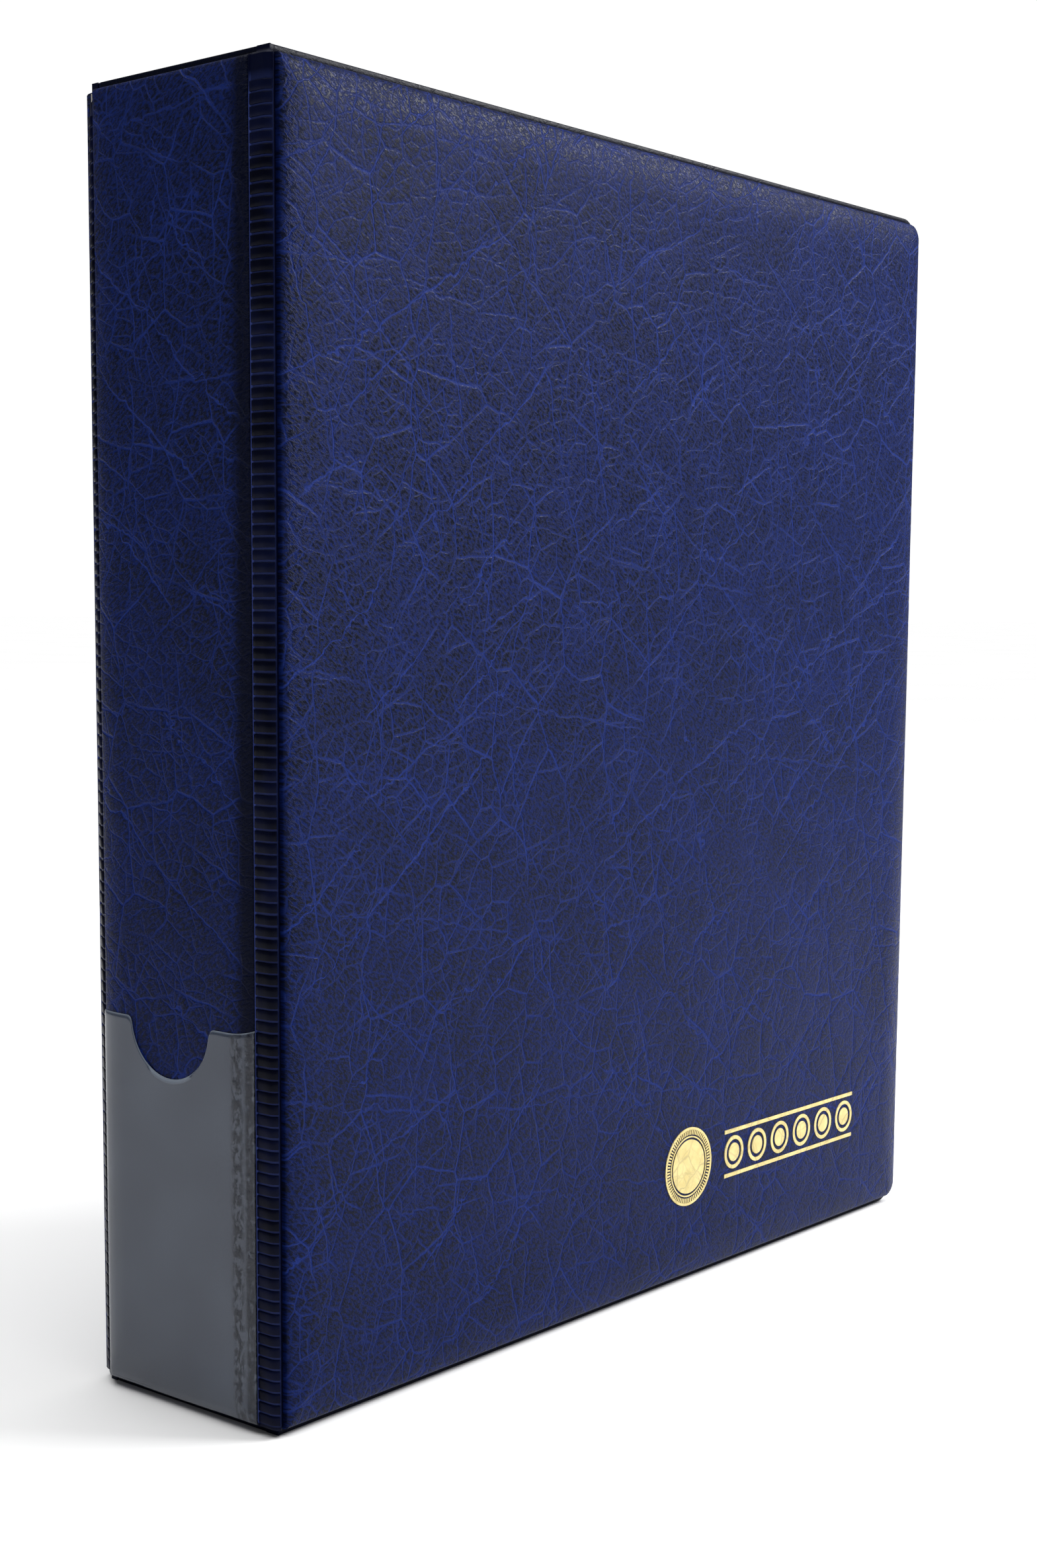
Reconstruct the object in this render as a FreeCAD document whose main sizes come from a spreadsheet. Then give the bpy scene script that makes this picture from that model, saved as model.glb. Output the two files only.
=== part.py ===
"""Coin album: a padded ring binder with hinged covers, a four-ring mechanism and clear coin sheets.

Frame, in millimetres: +Z is up, and the album stands on its lower edge at Z = 0. The spine's outer face
looks towards -X, the front cover's outer face towards -Y, and the origin is at the middle of the base.
"""
import FreeCAD
import Part
import math
import os
import Sketcher

doc = FreeCAD.newDocument("CoinAlbum")

# Driving dimensions ------------------------------------------------------------------------------

DIMENSIONS = {
    # whole album
    "album_width": 210,            # spine's outer face to the fore edge
    "album_thickness": 50,         # front outer face to rear outer face
    "album_height": 230,
    # padded panels: liner, board, foam and leatherette, from the inside out
    "liner_thick": 0.3,
    "board_thick": 2,
    "padding_thick": 1.2,
    "skin_thick": 0.4,
    "flange_width": 1.8,           # welded edge around each panel
    "corner_radius": 5,            # fore-edge corners of the covers
    "padding_round": 0.9,          # share of the foam's thickness that its edge is rounded by
    "foil_thick": 0.1,
    # hinges at the spine's two corners
    "cover_gap": 3.4,              # spine's outer face to a cover's panel
    "spine_gap": 4.4,              # a cover's outer face to the spine's panel
    "weld_recess": 1,
    "weld_thick": 0.8,
    "weld_bend": 2,
    # label pocket on the spine
    "pocket_film_thick": 0.3,
    "pocket_top": 69.5,
    "pocket_depth": 0.12,
    "pocket_border": 2,
    "notch_radius": 10,
    "notch_shift": 1.05,           # thumb notch's centre behind the spine's middle
    # ring mechanism
    "ring_side_clear": 4.1,        # rings to the covers' liners
    "wire_radius": 1.4,
    "ring_tip_gap": 0.05,
    "peg_offset": 5.5,
    "peg_bend": 3,
    "peg_stand": 0.97,             # straight stretch of a peg above its plate
    "inner_ring_offset": 32.5,
    "outer_ring_offset": 77.5,
    "rail_length": 186,
    "rail_width": 19,
    "rail_wall": 3,
    "rail_crown": 6,
    "rail_steel": 0.8,
    "rail_lip": 2.2,
    "rail_slot_inner": 3.7,
    "rail_slot_floor": 1.2,
    "rail_slot_clear": 0.5,
    "rail_notch_length": 7.5,
    "plate_thick": 1,
    "plate_rise": 1.6,
    "plate_side_clear": 0.4,
    "plate_joint_clear": 0.15,
    "rivet_offset": 55,
    "rivet_radius": 2,
    "rivet_head_radius": 4.5,
    "rivet_head_thick": 0.8,
    "rivet_clear": 0.05,
    "rivet_notch_clear": 0.6,
    "rolled_end_radius": 3.2,
    "rolled_end_thick": 0.7,
    # opening levers
    "lever_inset": 5,              # rail's end to the lever's pin
    "pin_radius": 0.6,
    "pin_rise": 1.9,
    "pin_clear": 0.05,
    "hub_radius": 1.3,
    "lever_width": 8,
    "lever_thick": 1.2,
    "lever_rise": 14,
    "lever_flare": 3,
    "tongue_reach": 3.2,
    "tongue_width": 2,
    "lever_clear": 0.2,
    # coin sheets
    "sheet_pitch": 2.5,
    "film_thick": 0.5,
    "binding_thick": 0.9,
    "binding_border": 3.5,
    "slot_length": 11,
    "slot_width": 6,
    "slot_shift": 1.2,             # slot's centre beyond the ring's wire
    "sheet_edge_clear": 6.5,       # sheet to the covers' fore edge
    "sheet_end_clear": 7.5,        # sheet to the album's lower and upper edges
    "film_weld": 3,
    "film_recess": 0.15,
    "pocket_columns": 4,
    "pocket_rows": 5,
    # foil ornament on the front cover
    "foil_left": 112,              # spine's outer face to the ornament
    "foil_base": 17,
    "coin_radius": 8.3,
    "small_coin_radius": 3.6,
    "small_coin_pitch": 9,
    "coin_gap": 5,                 # large coin to the first small one
    "foil_line": 0.8,
}

SMALL_COINS = 6
SHEETS_PER_SIDE = 4                # in front of the rings' middle plane, and as many behind it

sheet = doc.addObject("Spreadsheet::Sheet", "Dimensions")
for row, (alias, number) in enumerate(DIMENSIONS.items(), start=1):
    sheet.set(f"A{row}", alias)
    sheet.set(f"B{row}", str(number))
    sheet.setAlias(f"B{row}", alias)
doc.recompute()


class Size:
    """A size as a number and as the spreadsheet expression that gives it."""

    def __init__(self, number, text):
        self.number = number
        self.text = text

    @staticmethod
    def of(value):
        if isinstance(value, Size):
            return value
        return Size(float(value), f"({float(value)!r})")

    def join(self, other, sign, number):
        return Size(number, f"({self.text} {sign} {other.text})")

    def __add__(self, other):
        other = Size.of(other)
        return self.join(other, "+", self.number + other.number)

    def __sub__(self, other):
        other = Size.of(other)
        return self.join(other, "-", self.number - other.number)

    def __mul__(self, other):
        other = Size.of(other)
        return self.join(other, "*", self.number * other.number)

    def __truediv__(self, other):
        other = Size.of(other)
        return self.join(other, "/", self.number / other.number)

    def __radd__(self, other):
        return Size.of(other) + self

    def __rsub__(self, other):
        return Size.of(other) - self

    def __rmul__(self, other):
        return Size.of(other) * self

    def __neg__(self):
        return self * -1

    def root(self):
        return Size(math.sqrt(self.number), f"sqrt({self.text})")


class Dimensions:
    """Reads each dimension of the sheet as a Size, by its alias."""

    def __getattr__(self, alias):
        return Size(float(sheet.get(alias)), f"Dimensions.{alias}")


d = Dimensions()

# Sizes that follow from the driving ones ---------------------------------------------------------

front_face = -d.album_thickness / 2 + d.foil_thick
rear_face = d.album_thickness / 2
spine_face = -d.album_width / 2 + d.pocket_film_thick
fore_edge = d.album_width / 2
panel_thick = d.liner_thick + d.board_thick + d.padding_thick + d.skin_thick
skin_round = d.padding_thick * d.padding_round + d.skin_thick
front_liner = front_face + panel_thick
rear_liner = rear_face - panel_thick
spine_liner = spine_face + panel_thick
cover_start = spine_face + d.cover_gap
spine_front = front_face + d.spine_gap
spine_rear = rear_face - d.spine_gap
mid_height = d.album_height / 2

ring_radius = rear_face - panel_thick - d.foil_thick - d.wire_radius - d.ring_side_clear
peg_spread = (d.peg_offset + d.peg_bend) / (ring_radius + d.peg_bend)
peg_drop = (1 - peg_spread * peg_spread).root()
ring_rise = (ring_radius + d.peg_bend) * peg_drop + d.plate_rise + d.plate_thick + d.peg_stand
ring_axis = spine_liner + ring_rise
rail_bottom = mid_height - d.rail_length / 2
rail_top = mid_height + d.rail_length / 2
RING_HEIGHTS = [mid_height - d.outer_ring_offset, mid_height - d.inner_ring_offset,
                mid_height + d.inner_ring_offset, mid_height + d.outer_ring_offset]
RIVET_HEIGHTS = {"lower": mid_height - d.rivet_offset, "upper": mid_height + d.rivet_offset}

X_AXIS = FreeCAD.Vector(1, 0, 0)
Y_AXIS = FreeCAD.Vector(0, 1, 0)
Z_AXIS = FreeCAD.Vector(0, 0, 1)
FACING_FRONT = (X_AXIS, Z_AXIS, -Y_AXIS)     # local x, y and z: along, up and out of the front cover
FACING_REAR = (-X_AXIS, Z_AXIS, Y_AXIS)
FACING_SPINE = (-Y_AXIS, Z_AXIS, -X_AXIS)
UPRIGHT = (X_AXIS, Y_AXIS, Z_AXIS)
INTO_ALBUM = (Y_AXIS, Z_AXIS, X_AXIS)

nodes = {}


def node(label, thing):
    """Gives a finished sub-part its name and lists it for writing."""
    thing.Label = label
    nodes[label] = thing
    return thing


def place(thing, x=0, y=0, z=0, facing=UPRIGHT):
    thing.Placement = FreeCAD.Placement(FreeCAD.Vector(), FreeCAD.Rotation(*facing, "ZXY"))
    for axis, size in zip("xyz", (x, y, z)):
        thing.setExpression(f"Placement.Base.{axis}", Size.of(size).text)


def new_body(name, x=0, y=0, z=0, facing=UPRIGHT):
    body = doc.addObject("PartDesign::Body", name)
    place(body, x, y, z, facing)
    return body


def new_sketch(body, offset=0, role="XY_Plane"):
    """A sketch on one of the body's own origin planes, moved along the plane's normal."""
    plane = [feature for feature in body.Origin.OriginFeatures if feature.Role == role][0]
    sketch = body.newObject("Sketcher::SketchObject", f"{body.Name}_sketch")
    sketch.AttachmentSupport = [(plane, "")]
    sketch.MapMode = "FlatFace"
    sketch.setExpression("AttachmentOffset.Base.z", Size.of(offset).text)
    return sketch


def pin(sketch, geometry, point, x, y):
    """Holds a point at a place that is worked out from the dimensions."""
    for kind, size in (("DistanceX", Size.of(x)), ("DistanceY", Size.of(y))):
        index = sketch.addConstraint(Sketcher.Constraint(kind, -1, 1, geometry, point, size.number))
        sketch.setExpression(f"Constraints[{index}]", size.text)


def set_radius(sketch, geometry, radius):
    index = sketch.addConstraint(Sketcher.Constraint("Radius", geometry, radius.number))
    sketch.setExpression(f"Constraints[{index}]", radius.text)


def arc_between(start, end, radius, left):
    """The short arc from start to end that turns left or right."""
    middle = (start + end) / 2
    half = end - middle
    across = FreeCAD.Vector(-half.y, half.x, 0)
    rise = math.sqrt(max(radius ** 2 - half.Length ** 2, 0))
    centre = middle + across.normalize() * (rise if left else -rise)
    first, last = (start, end) if left else (end, start)
    begin = math.atan2(first.y - centre.y, first.x - centre.x)
    finish = math.atan2(last.y - centre.y, last.x - centre.x)
    if finish < begin:
        finish += 2 * math.pi
    circle = Part.Circle(centre, Z_AXIS, radius)
    return Part.ArcOfCircle(circle, begin, finish)


def draw_path(sketch, points, closed=True):
    """Lines and arcs through points (x, y) or (x, y, radius, left), the last for an arc that starts there."""
    count = len(points) if closed else len(points) - 1
    ends = []
    for number in range(count):
        start = points[number]
        stop = points[(number + 1) % len(points)]
        begin = FreeCAD.Vector(Size.of(start[0]).number, Size.of(start[1]).number, 0)
        finish = FreeCAD.Vector(Size.of(stop[0]).number, Size.of(stop[1]).number, 0)
        if len(start) == 2:
            edge = sketch.addGeometry(Part.LineSegment(begin, finish), False)
            ends.append((edge, 1, 2))
        else:
            radius, left = start[2], start[3]
            edge = sketch.addGeometry(arc_between(begin, finish, radius.number, left), False)
            ends.append((edge, 1, 2) if left else (edge, 2, 1))
            set_radius(sketch, edge, radius)
        pin(sketch, edge, ends[-1][1], start[0], start[1])
    for (edge, _, last), (following, first, _) in zip(ends, ends[1:] + ends[:1]):
        if closed or following != ends[0][0]:
            sketch.addConstraint(Sketcher.Constraint("Coincident", edge, last, following, first))
    if not closed:
        pin(sketch, ends[-1][0], ends[-1][2], points[-1][0], points[-1][1])


def draw_circle(sketch, x, y, radius):
    centre = FreeCAD.Vector(Size.of(x).number, Size.of(y).number, 0)
    edge = sketch.addGeometry(Part.Circle(centre, Z_AXIS, radius.number), False)
    pin(sketch, edge, 3, x, y)
    set_radius(sketch, edge, radius)


def rectangle(left, low, right, high):
    return [(left, low), (right, low), (right, high), (left, high)]


def pad(body, sketch, length):
    feature = body.newObject("PartDesign::Pad", f"{body.Name}_pad")
    feature.Profile = sketch
    feature.setExpression("Length", Size.of(length).text)
    return feature


def cut(body, sketch, depth=None, upwards=False):
    """A pocket through everything, or to a depth, and downwards along the sketch's normal unless upwards."""
    doc.recompute()
    before = body.Shape.Volume
    feature = body.newObject("PartDesign::Pocket", f"{body.Name}_pocket")
    feature.Profile = sketch
    feature.Reversed = upwards
    if depth is None:
        feature.Type = "ThroughAll"
    else:
        feature.setExpression("Length", Size.of(depth).text)
    doc.recompute()
    if body.Shape.Volume > before - 1e-6:
        raise RuntimeError(f"{feature.Name} cuts nothing")
    return feature


def round_edges(body, radius, wanted):
    """Fillets the edges of the body's newest feature for which wanted(edge) is true."""
    doc.recompute()
    base = body.Tip
    names = [f"Edge{number}" for number, edge in enumerate(base.Shape.Edges, start=1) if wanted(edge)]
    feature = body.newObject("PartDesign::Fillet", f"{body.Name}_fillet")
    feature.Base = (base, names)
    feature.setExpression("Radius", radius.text)
    return feature


def lies_at(height):
    """A test for edges that lie flat at a height of the body's own frame."""
    def wanted(edge):
        box = edge.BoundBox
        return abs(box.ZMin - height.number) < 1e-4 and abs(box.ZMax - height.number) < 1e-4
    return wanted


# Padded panels -----------------------------------------------------------------------------------

class Panel:
    """One padded panel. Local x runs from the hinge to the fore edge, y upwards and z outwards."""

    def __init__(self, name, length, corner, mirrored=False, x=0, y=0, facing=UPRIGHT):
        self.name = name
        self.length = length
        self.corner = corner
        self.mirrored = mirrored
        self.at = (x, y, 0, facing)

    def outline(self, hinge_inset, edge_inset):
        """The panel's outline, drawn in from the hinge side and from the three other edges."""
        low = Size.of(edge_inset)
        high = d.album_height - edge_inset
        near = Size.of(hinge_inset)
        if self.corner is None:
            return rectangle(near, low, self.length - hinge_inset, high)
        far = self.length - edge_inset
        radius = self.corner - edge_inset
        if self.mirrored:
            return [(-near, low), (-near, high), (radius - far, high, radius, True), (-far, high - radius),
                    (-far, low + radius, radius, True), (radius - far, low)]
        return [(near, low), (far - radius, low, radius, True), (far, low + radius),
                (far, high - radius, radius, True), (far - radius, high), (near, high)]

    def layer(self, part, low, thick, hinge_inset=0, edge_inset=0):
        body = new_body(f"{self.name}_{part}", *self.at)
        sketch = new_sketch(body, low)
        draw_path(sketch, self.outline(hinge_inset, edge_inset))
        pad(body, sketch, thick)
        return body

    def build(self):
        inner = d.flange_width + d.skin_thick
        core = d.board_thick + d.padding_thick
        core_top = d.liner_thick + core
        liner = self.layer("inner_liner", 0, d.liner_thick)
        board = self.layer("board", d.liner_thick, d.board_thick, d.skin_thick, inner)
        padding = self.layer("padding", d.liner_thick + d.board_thick, d.padding_thick, d.skin_thick, inner)
        round_edges(padding, d.padding_thick * d.padding_round, lies_at(core_top))
        shell = self.layer("skin_shell", d.liner_thick, core + d.skin_thick, 0, d.flange_width)
        round_edges(shell, skin_round, lies_at(panel_thick))
        sketch = new_sketch(shell, d.liner_thick)
        draw_path(sketch, self.outline(0, 0))
        pad(shell, sketch, d.skin_thick)
        core_body = self.layer("skin_core", d.liner_thick, core, d.skin_thick, inner)
        round_edges(core_body, d.padding_thick * d.padding_round, lies_at(core_top))
        skin = doc.addObject("Part::Cut", f"{self.name}_outer_skin")
        skin.Base = shell
        skin.Tool = core_body
        node(f"{self.name}_inner_liner", liner)
        node(f"{self.name}_board", board)
        node(f"{self.name}_padding", padding)
        node(f"{self.name}_outer_skin", skin)
        return liner, board, padding


cover_length = fore_edge - cover_start
Panel("front", cover_length, d.corner_radius, x=cover_start, y=front_liner, facing=FACING_FRONT).build()
Panel("rear", cover_length, d.corner_radius, mirrored=True, x=cover_start, y=rear_liner,
      facing=FACING_REAR).build()
spine_panel = Panel("spine", spine_rear - spine_front, None, x=spine_liner, y=spine_rear,
                    facing=FACING_SPINE)
spine_layers = spine_panel.build()


def drill_spine():
    """Holes for the rivets through the liner and board, and room for their heads in the foam."""
    liner, board, padding = spine_layers
    shank_hole = d.rivet_radius + d.rivet_clear
    head_hole = d.rivet_head_radius + d.rivet_clear
    foam_start = d.liner_thick + d.board_thick
    for body, start, depth, radius in ((liner, 0, d.liner_thick, shank_hole),
                                       (board, d.liner_thick, d.board_thick, shank_hole),
                                       (padding, foam_start, d.rivet_head_thick, head_hole)):
        sketch = new_sketch(body, start)
        for height in RIVET_HEIGHTS.values():
            draw_circle(sketch, spine_rear, height, radius)
        cut(body, sketch, depth, upwards=True)


drill_spine()

# Welded hinge strips -----------------------------------------------------------------------------


def hinge_weld(name, face, side):
    """The weld strip at a corner of the spine, bent from the cover's edge to the spine panel's edge."""
    body = new_body(name, spine_face, face)
    outer = d.weld_recess
    inner = d.weld_recess + d.weld_thick
    bend = d.weld_recess + d.weld_bend
    turn = side < 0
    outline = [
        (d.cover_gap, -side * outer),
        (bend, -side * outer, d.weld_bend, not turn),
        (outer, -side * bend),
        (outer, -side * d.spine_gap),
        (inner, -side * d.spine_gap),
        (inner, -side * bend, d.weld_bend - d.weld_thick, turn),
        (bend, -side * inner),
        (d.cover_gap, -side * inner),
    ]
    sketch = new_sketch(body)
    draw_path(sketch, outline)
    pad(body, sketch, d.album_height)
    node(name, body)


hinge_weld("front_hinge_weld", front_face, -1)
hinge_weld("rear_hinge_weld", rear_face, 1)

# Label pocket ------------------------------------------------------------------------------------


def label_pocket():
    """A clear film on the lower spine, welded at three edges, with a thumb notch in its open top."""
    low = d.flange_width + skin_round
    left = skin_round
    right = spine_rear - spine_front - skin_round
    notch_x = (spine_rear - spine_front) / 2 - d.notch_shift
    body = new_body("spine_label_pocket", spine_face, spine_rear, 0, FACING_SPINE)
    sketch = new_sketch(body)
    draw_path(sketch, [
        (left, low), (right, low), (right, d.pocket_top),
        (notch_x + d.notch_radius, d.pocket_top, d.notch_radius, False),
        (notch_x, d.pocket_top - d.notch_radius, d.notch_radius, False),
        (notch_x - d.notch_radius, d.pocket_top), (left, d.pocket_top)])
    pad(body, sketch, d.pocket_film_thick)
    hollow = new_sketch(body)
    draw_path(hollow, rectangle(left + d.pocket_border, low + d.pocket_border, right - d.pocket_border,
                                d.pocket_top))
    cut(body, hollow, d.pocket_depth, upwards=True)
    node("spine_label_pocket", body)


label_pocket()

# Foil ornament -----------------------------------------------------------------------------------


def foil_ornament():
    """A large coin, a row of small coins and two rules, stamped in foil on the front cover."""
    pieces = []
    y = front_face

    def disc(x, z, radius):
        thing = doc.addObject("Part::Cylinder", "foil_disc")
        place(thing, x, y, z, FACING_FRONT)
        thing.setExpression("Radius", radius.text)
        thing.setExpression("Height", d.foil_thick.text)
        return thing

    def ring(x, z, radius):
        thing = doc.addObject("Part::Cut", "foil_ring")
        thing.Base = disc(x, z, radius)
        thing.Tool = disc(x, z, radius - d.foil_line)
        pieces.append(thing)

    coin_x = -d.album_width / 2 + d.foil_left + d.coin_radius
    coin_z = d.foil_base + d.coin_radius
    ring(coin_x, coin_z, d.coin_radius)
    pieces.append(disc(coin_x, coin_z, d.coin_radius - 2.5 * d.foil_line))
    first = coin_x + d.coin_radius + d.small_coin_radius + d.coin_gap
    for number in range(SMALL_COINS):
        x = first + d.small_coin_pitch * number
        ring(x, coin_z, d.small_coin_radius)
        pieces.append(disc(x, coin_z, d.small_coin_radius - 2 * d.foil_line))
    for z in (coin_z - d.small_coin_radius - 2 * d.foil_line, coin_z + d.small_coin_radius + d.foil_line):
        rule = doc.addObject("Part::Box", "foil_rule")
        place(rule, first - d.small_coin_radius, y, z, FACING_FRONT)
        length = d.small_coin_pitch * (SMALL_COINS - 1) + 2 * d.small_coin_radius
        rule.setExpression("Length", length.text)
        rule.setExpression("Width", d.foil_line.text)
        rule.setExpression("Height", d.foil_thick.text)
        pieces.append(rule)
    group = doc.addObject("Part::Compound", "front_foil_ornament")
    group.Links = pieces
    node("front_foil_ornament", group)


foil_ornament()

# Ring mechanism ----------------------------------------------------------------------------------

half_rail = d.rail_width / 2
arch_sagitta = d.rail_crown - d.rail_wall
arch_radius = (half_rail * half_rail + arch_sagitta * arch_sagitta) / (2 * arch_sagitta)
inner_half = half_rail - d.rail_steel
inner_radius = arch_radius - d.rail_steel
arch_centre = d.rail_crown - arch_radius
inner_wall = arch_centre + (inner_radius * inner_radius - inner_half * inner_half).root()
pin_height = {"lower": rail_bottom + d.lever_inset, "upper": rail_top - d.lever_inset}


def ring_rail():
    """The arched steel rail that holds the hinge plates, open along its underside."""
    body = new_body("ring_rail", spine_liner, 0, rail_bottom)
    lip = half_rail - d.rail_lip
    sketch = new_sketch(body)
    draw_path(sketch, [
        (0, half_rail), (0, lip), (d.rail_steel, lip), (d.rail_steel, inner_half),
        (inner_wall, inner_half, inner_radius, False), (inner_wall, -inner_half),
        (d.rail_steel, -inner_half), (d.rail_steel, -lip), (0, -lip), (0, -half_rail),
        (d.rail_wall, -half_rail, arch_radius, True), (d.rail_wall, half_rail)])
    pad(body, sketch, d.rail_length)
    slots = new_sketch(body, d.rail_slot_floor, "YZ_Plane")
    slot_half = d.wire_radius + d.rail_slot_clear
    beyond = half_rail + d.rail_slot_clear
    for height in RING_HEIGHTS:
        low = height - rail_bottom - slot_half
        high = height - rail_bottom + slot_half
        draw_path(slots, rectangle(d.rail_slot_inner, low, beyond, high))
        draw_path(slots, rectangle(-beyond, low, -d.rail_slot_inner, high))
    cut(body, slots, d.rail_crown, upwards=True)
    openings = new_sketch(body, d.rail_wall, "YZ_Plane")
    notch_half = d.lever_width / 2 + d.lever_clear
    draw_path(openings, rectangle(-notch_half, -d.rail_steel, notch_half, d.rail_notch_length))
    draw_path(openings, rectangle(-notch_half, d.rail_length - d.rail_notch_length, notch_half,
                                  d.rail_length + d.rail_steel))
    for height in RIVET_HEIGHTS.values():
        draw_circle(openings, 0, height - rail_bottom, d.rivet_radius + d.rivet_clear)
    cut(body, openings, d.rail_crown, upwards=True)
    holes = new_sketch(body, 0, "XZ_Plane")
    for height in pin_height.values():
        draw_circle(holes, d.pin_rise, height - rail_bottom, d.pin_radius + d.pin_clear)
    pocket = cut(body, holes)
    pocket.SideType = "Symmetric"
    node("ring_rail", body)


def hinge_plate(name, side):
    """One of the two plates under the rail, with holes for its half rings and notches for the rivets."""
    reach = inner_half - d.plate_side_clear
    start = rail_bottom + d.lever_inset + d.hub_radius + d.lever_clear
    length = 2 * (mid_height - start)
    body = new_body(name, spine_liner + d.plate_rise, 0, start, INTO_ALBUM)
    near = side * d.plate_joint_clear
    far = side * reach
    sketch = new_sketch(body)
    draw_path(sketch, rectangle(near, Size.of(0), far, length))
    pad(body, sketch, d.plate_thick)
    holes = new_sketch(body)
    for height in RING_HEIGHTS:
        draw_circle(holes, side * d.peg_offset, height - start, d.wire_radius)
    cut(body, holes, d.plate_thick, upwards=True)
    notches = new_sketch(body)
    for height in RIVET_HEIGHTS.values():
        draw_circle(notches, 0, height - start, d.rivet_radius + d.rivet_notch_clear)
    cut(body, notches, d.plate_thick, upwards=True)
    node(name, body)


def half_ring(name, side, height):
    """A bent wire: three quarters of a ring's side, a small bend back and a peg through the plate."""
    turn = side > 0
    body = new_body(name, spine_liner, 0, height)
    route = new_sketch(body)
    draw_path(route, [
        (ring_rise + ring_radius, side * d.ring_tip_gap, ring_radius, turn),
        (ring_rise, side * ring_radius, ring_radius, turn),
        (ring_rise - ring_radius * peg_drop, side * ring_radius * peg_spread, d.peg_bend, not turn),
        (ring_rise - (ring_radius + d.peg_bend) * peg_drop, side * d.peg_offset),
        (d.plate_rise, side * d.peg_offset)], closed=False)
    profile = new_sketch(body, -side * d.ring_tip_gap, "XZ_Plane")
    draw_circle(profile, ring_rise + ring_radius, 0, d.wire_radius)
    pipe = body.newObject("PartDesign::AdditivePipe", f"{name}_pipe")
    pipe.Profile = profile
    pipe.Spine = (route, [])
    pipe.Transition = "Round corner"
    node(name, body)


def rivet(position, height):
    """A rivet with a wide head on the board, a shank and a rolled end on the rail's crown."""
    name = f"{position}_rail_rivet"
    head = spine_face + d.padding_thick + d.skin_thick
    body = new_body(name, head, 0, height)
    sketch = new_sketch(body)
    under = -d.rivet_head_thick
    crown = panel_thick - d.padding_thick - d.skin_thick + d.rail_crown
    tip = crown + d.rolled_end_thick
    draw_path(sketch, [
        (under, 0), (tip, 0), (tip, d.rolled_end_radius), (crown, d.rolled_end_radius),
        (crown, d.rivet_radius), (0, d.rivet_radius), (0, d.rivet_head_radius),
        (under, d.rivet_head_radius)])
    turned = body.newObject("PartDesign::Revolution", f"{name}_revolution")
    turned.Profile = sketch
    turned.ReferenceAxis = (sketch, ["H_Axis"])
    turned.Angle = 360
    node(name, body)


def lever(position, side):
    """A thumb lever: a flared tab above its hub, and a tongue that reaches under the hinge plates."""
    name = f"{position}_lever"
    body = new_body(name, spine_liner + d.pin_rise, 0, pin_height[position])
    half = d.lever_thick / 2
    top = d.lever_rise - d.pin_rise
    knee = top * 0.55
    flare = d.lever_flare
    tab = new_sketch(body, -d.lever_width / 2, "XZ_Plane")
    draw_path(tab, [
        (0, -side * half), (knee, -side * half), (top, side * (flare - half)), (top, side * (flare + half)),
        (knee, side * half), (0, side * half)])
    pad(body, tab, d.lever_width)
    hub = new_sketch(body, -d.lever_width / 2, "XZ_Plane")
    draw_circle(hub, 0, 0, d.hub_radius)
    pad(body, hub, d.lever_width)
    tongue = new_sketch(body, -d.tongue_width / 2, "XZ_Plane")
    tongue_low = d.lever_clear - d.pin_rise + d.rail_steel / 2
    tongue_high = d.plate_rise - d.pin_rise - 1.5 * d.lever_clear
    draw_path(tongue, rectangle(tongue_low, -side * d.tongue_reach, tongue_high, 0))
    pad(body, tongue, d.tongue_width)
    bore = new_sketch(body, 0, "XZ_Plane")
    draw_circle(bore, 0, 0, d.pin_radius + d.pin_clear)
    pocket = cut(body, bore)
    pocket.SideType = "Symmetric"
    node(name, body)


def lever_pin(position):
    thing = doc.addObject("Part::Cylinder", f"{position}_lever_pin")
    place(thing, spine_liner + d.pin_rise, half_rail, pin_height[position], (X_AXIS, Z_AXIS, -Y_AXIS))
    thing.setExpression("Radius", d.pin_radius.text)
    thing.setExpression("Height", d.rail_width.text)
    node(f"{position}_lever_pin", thing)


ring_rail()
for end, side in (("front", -1), ("rear", 1)):
    hinge_plate(f"{end}_hinge_plate", side)
    for number, height in enumerate(RING_HEIGHTS, start=1):
        half_ring(f"{end}_half_ring_{number}", side, height)
for position, side in (("lower", -1), ("upper", 1)):
    rivet(position, RIVET_HEIGHTS[position])
    lever(position, side)
    lever_pin(position)

# Coin sheets -------------------------------------------------------------------------------------

binding_width = d.slot_length + 2 * d.binding_border
sheet_height = d.album_height - 2 * d.sheet_end_clear


def slot_centre(offset):
    """How far from the rings' axis a sheet's slots lie, at the sheet's offset from the middle plane."""
    return (ring_radius * ring_radius - offset * offset).root() + d.slot_shift


innermost = d.sheet_pitch / 2
film_width = (fore_edge - d.sheet_edge_clear) - (ring_axis + slot_centre(innermost) + binding_width / 2)


def binding_strip(name, x, y):
    """The reinforced edge of a coin sheet, with one slot for each ring."""
    body = new_body(name, x, y + d.binding_thick / 2, d.sheet_end_clear, FACING_FRONT)
    sketch = new_sketch(body)
    draw_path(sketch, rectangle(Size.of(0), Size.of(0), binding_width, sheet_height))
    pad(body, sketch, d.binding_thick)
    slots = new_sketch(body)
    radius = d.slot_width / 2
    left = d.binding_border + radius
    right = binding_width - d.binding_border - radius
    for height in RING_HEIGHTS:
        middle = height - d.sheet_end_clear
        draw_path(slots, [
            (left, middle - radius), (right, middle - radius, radius, True),
            (right + radius, middle, radius, True), (right, middle + radius),
            (left, middle + radius, radius, True), (left - radius, middle, radius, True)])
    cut(body, slots, d.binding_thick, upwards=True)
    node(name, body)


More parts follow.
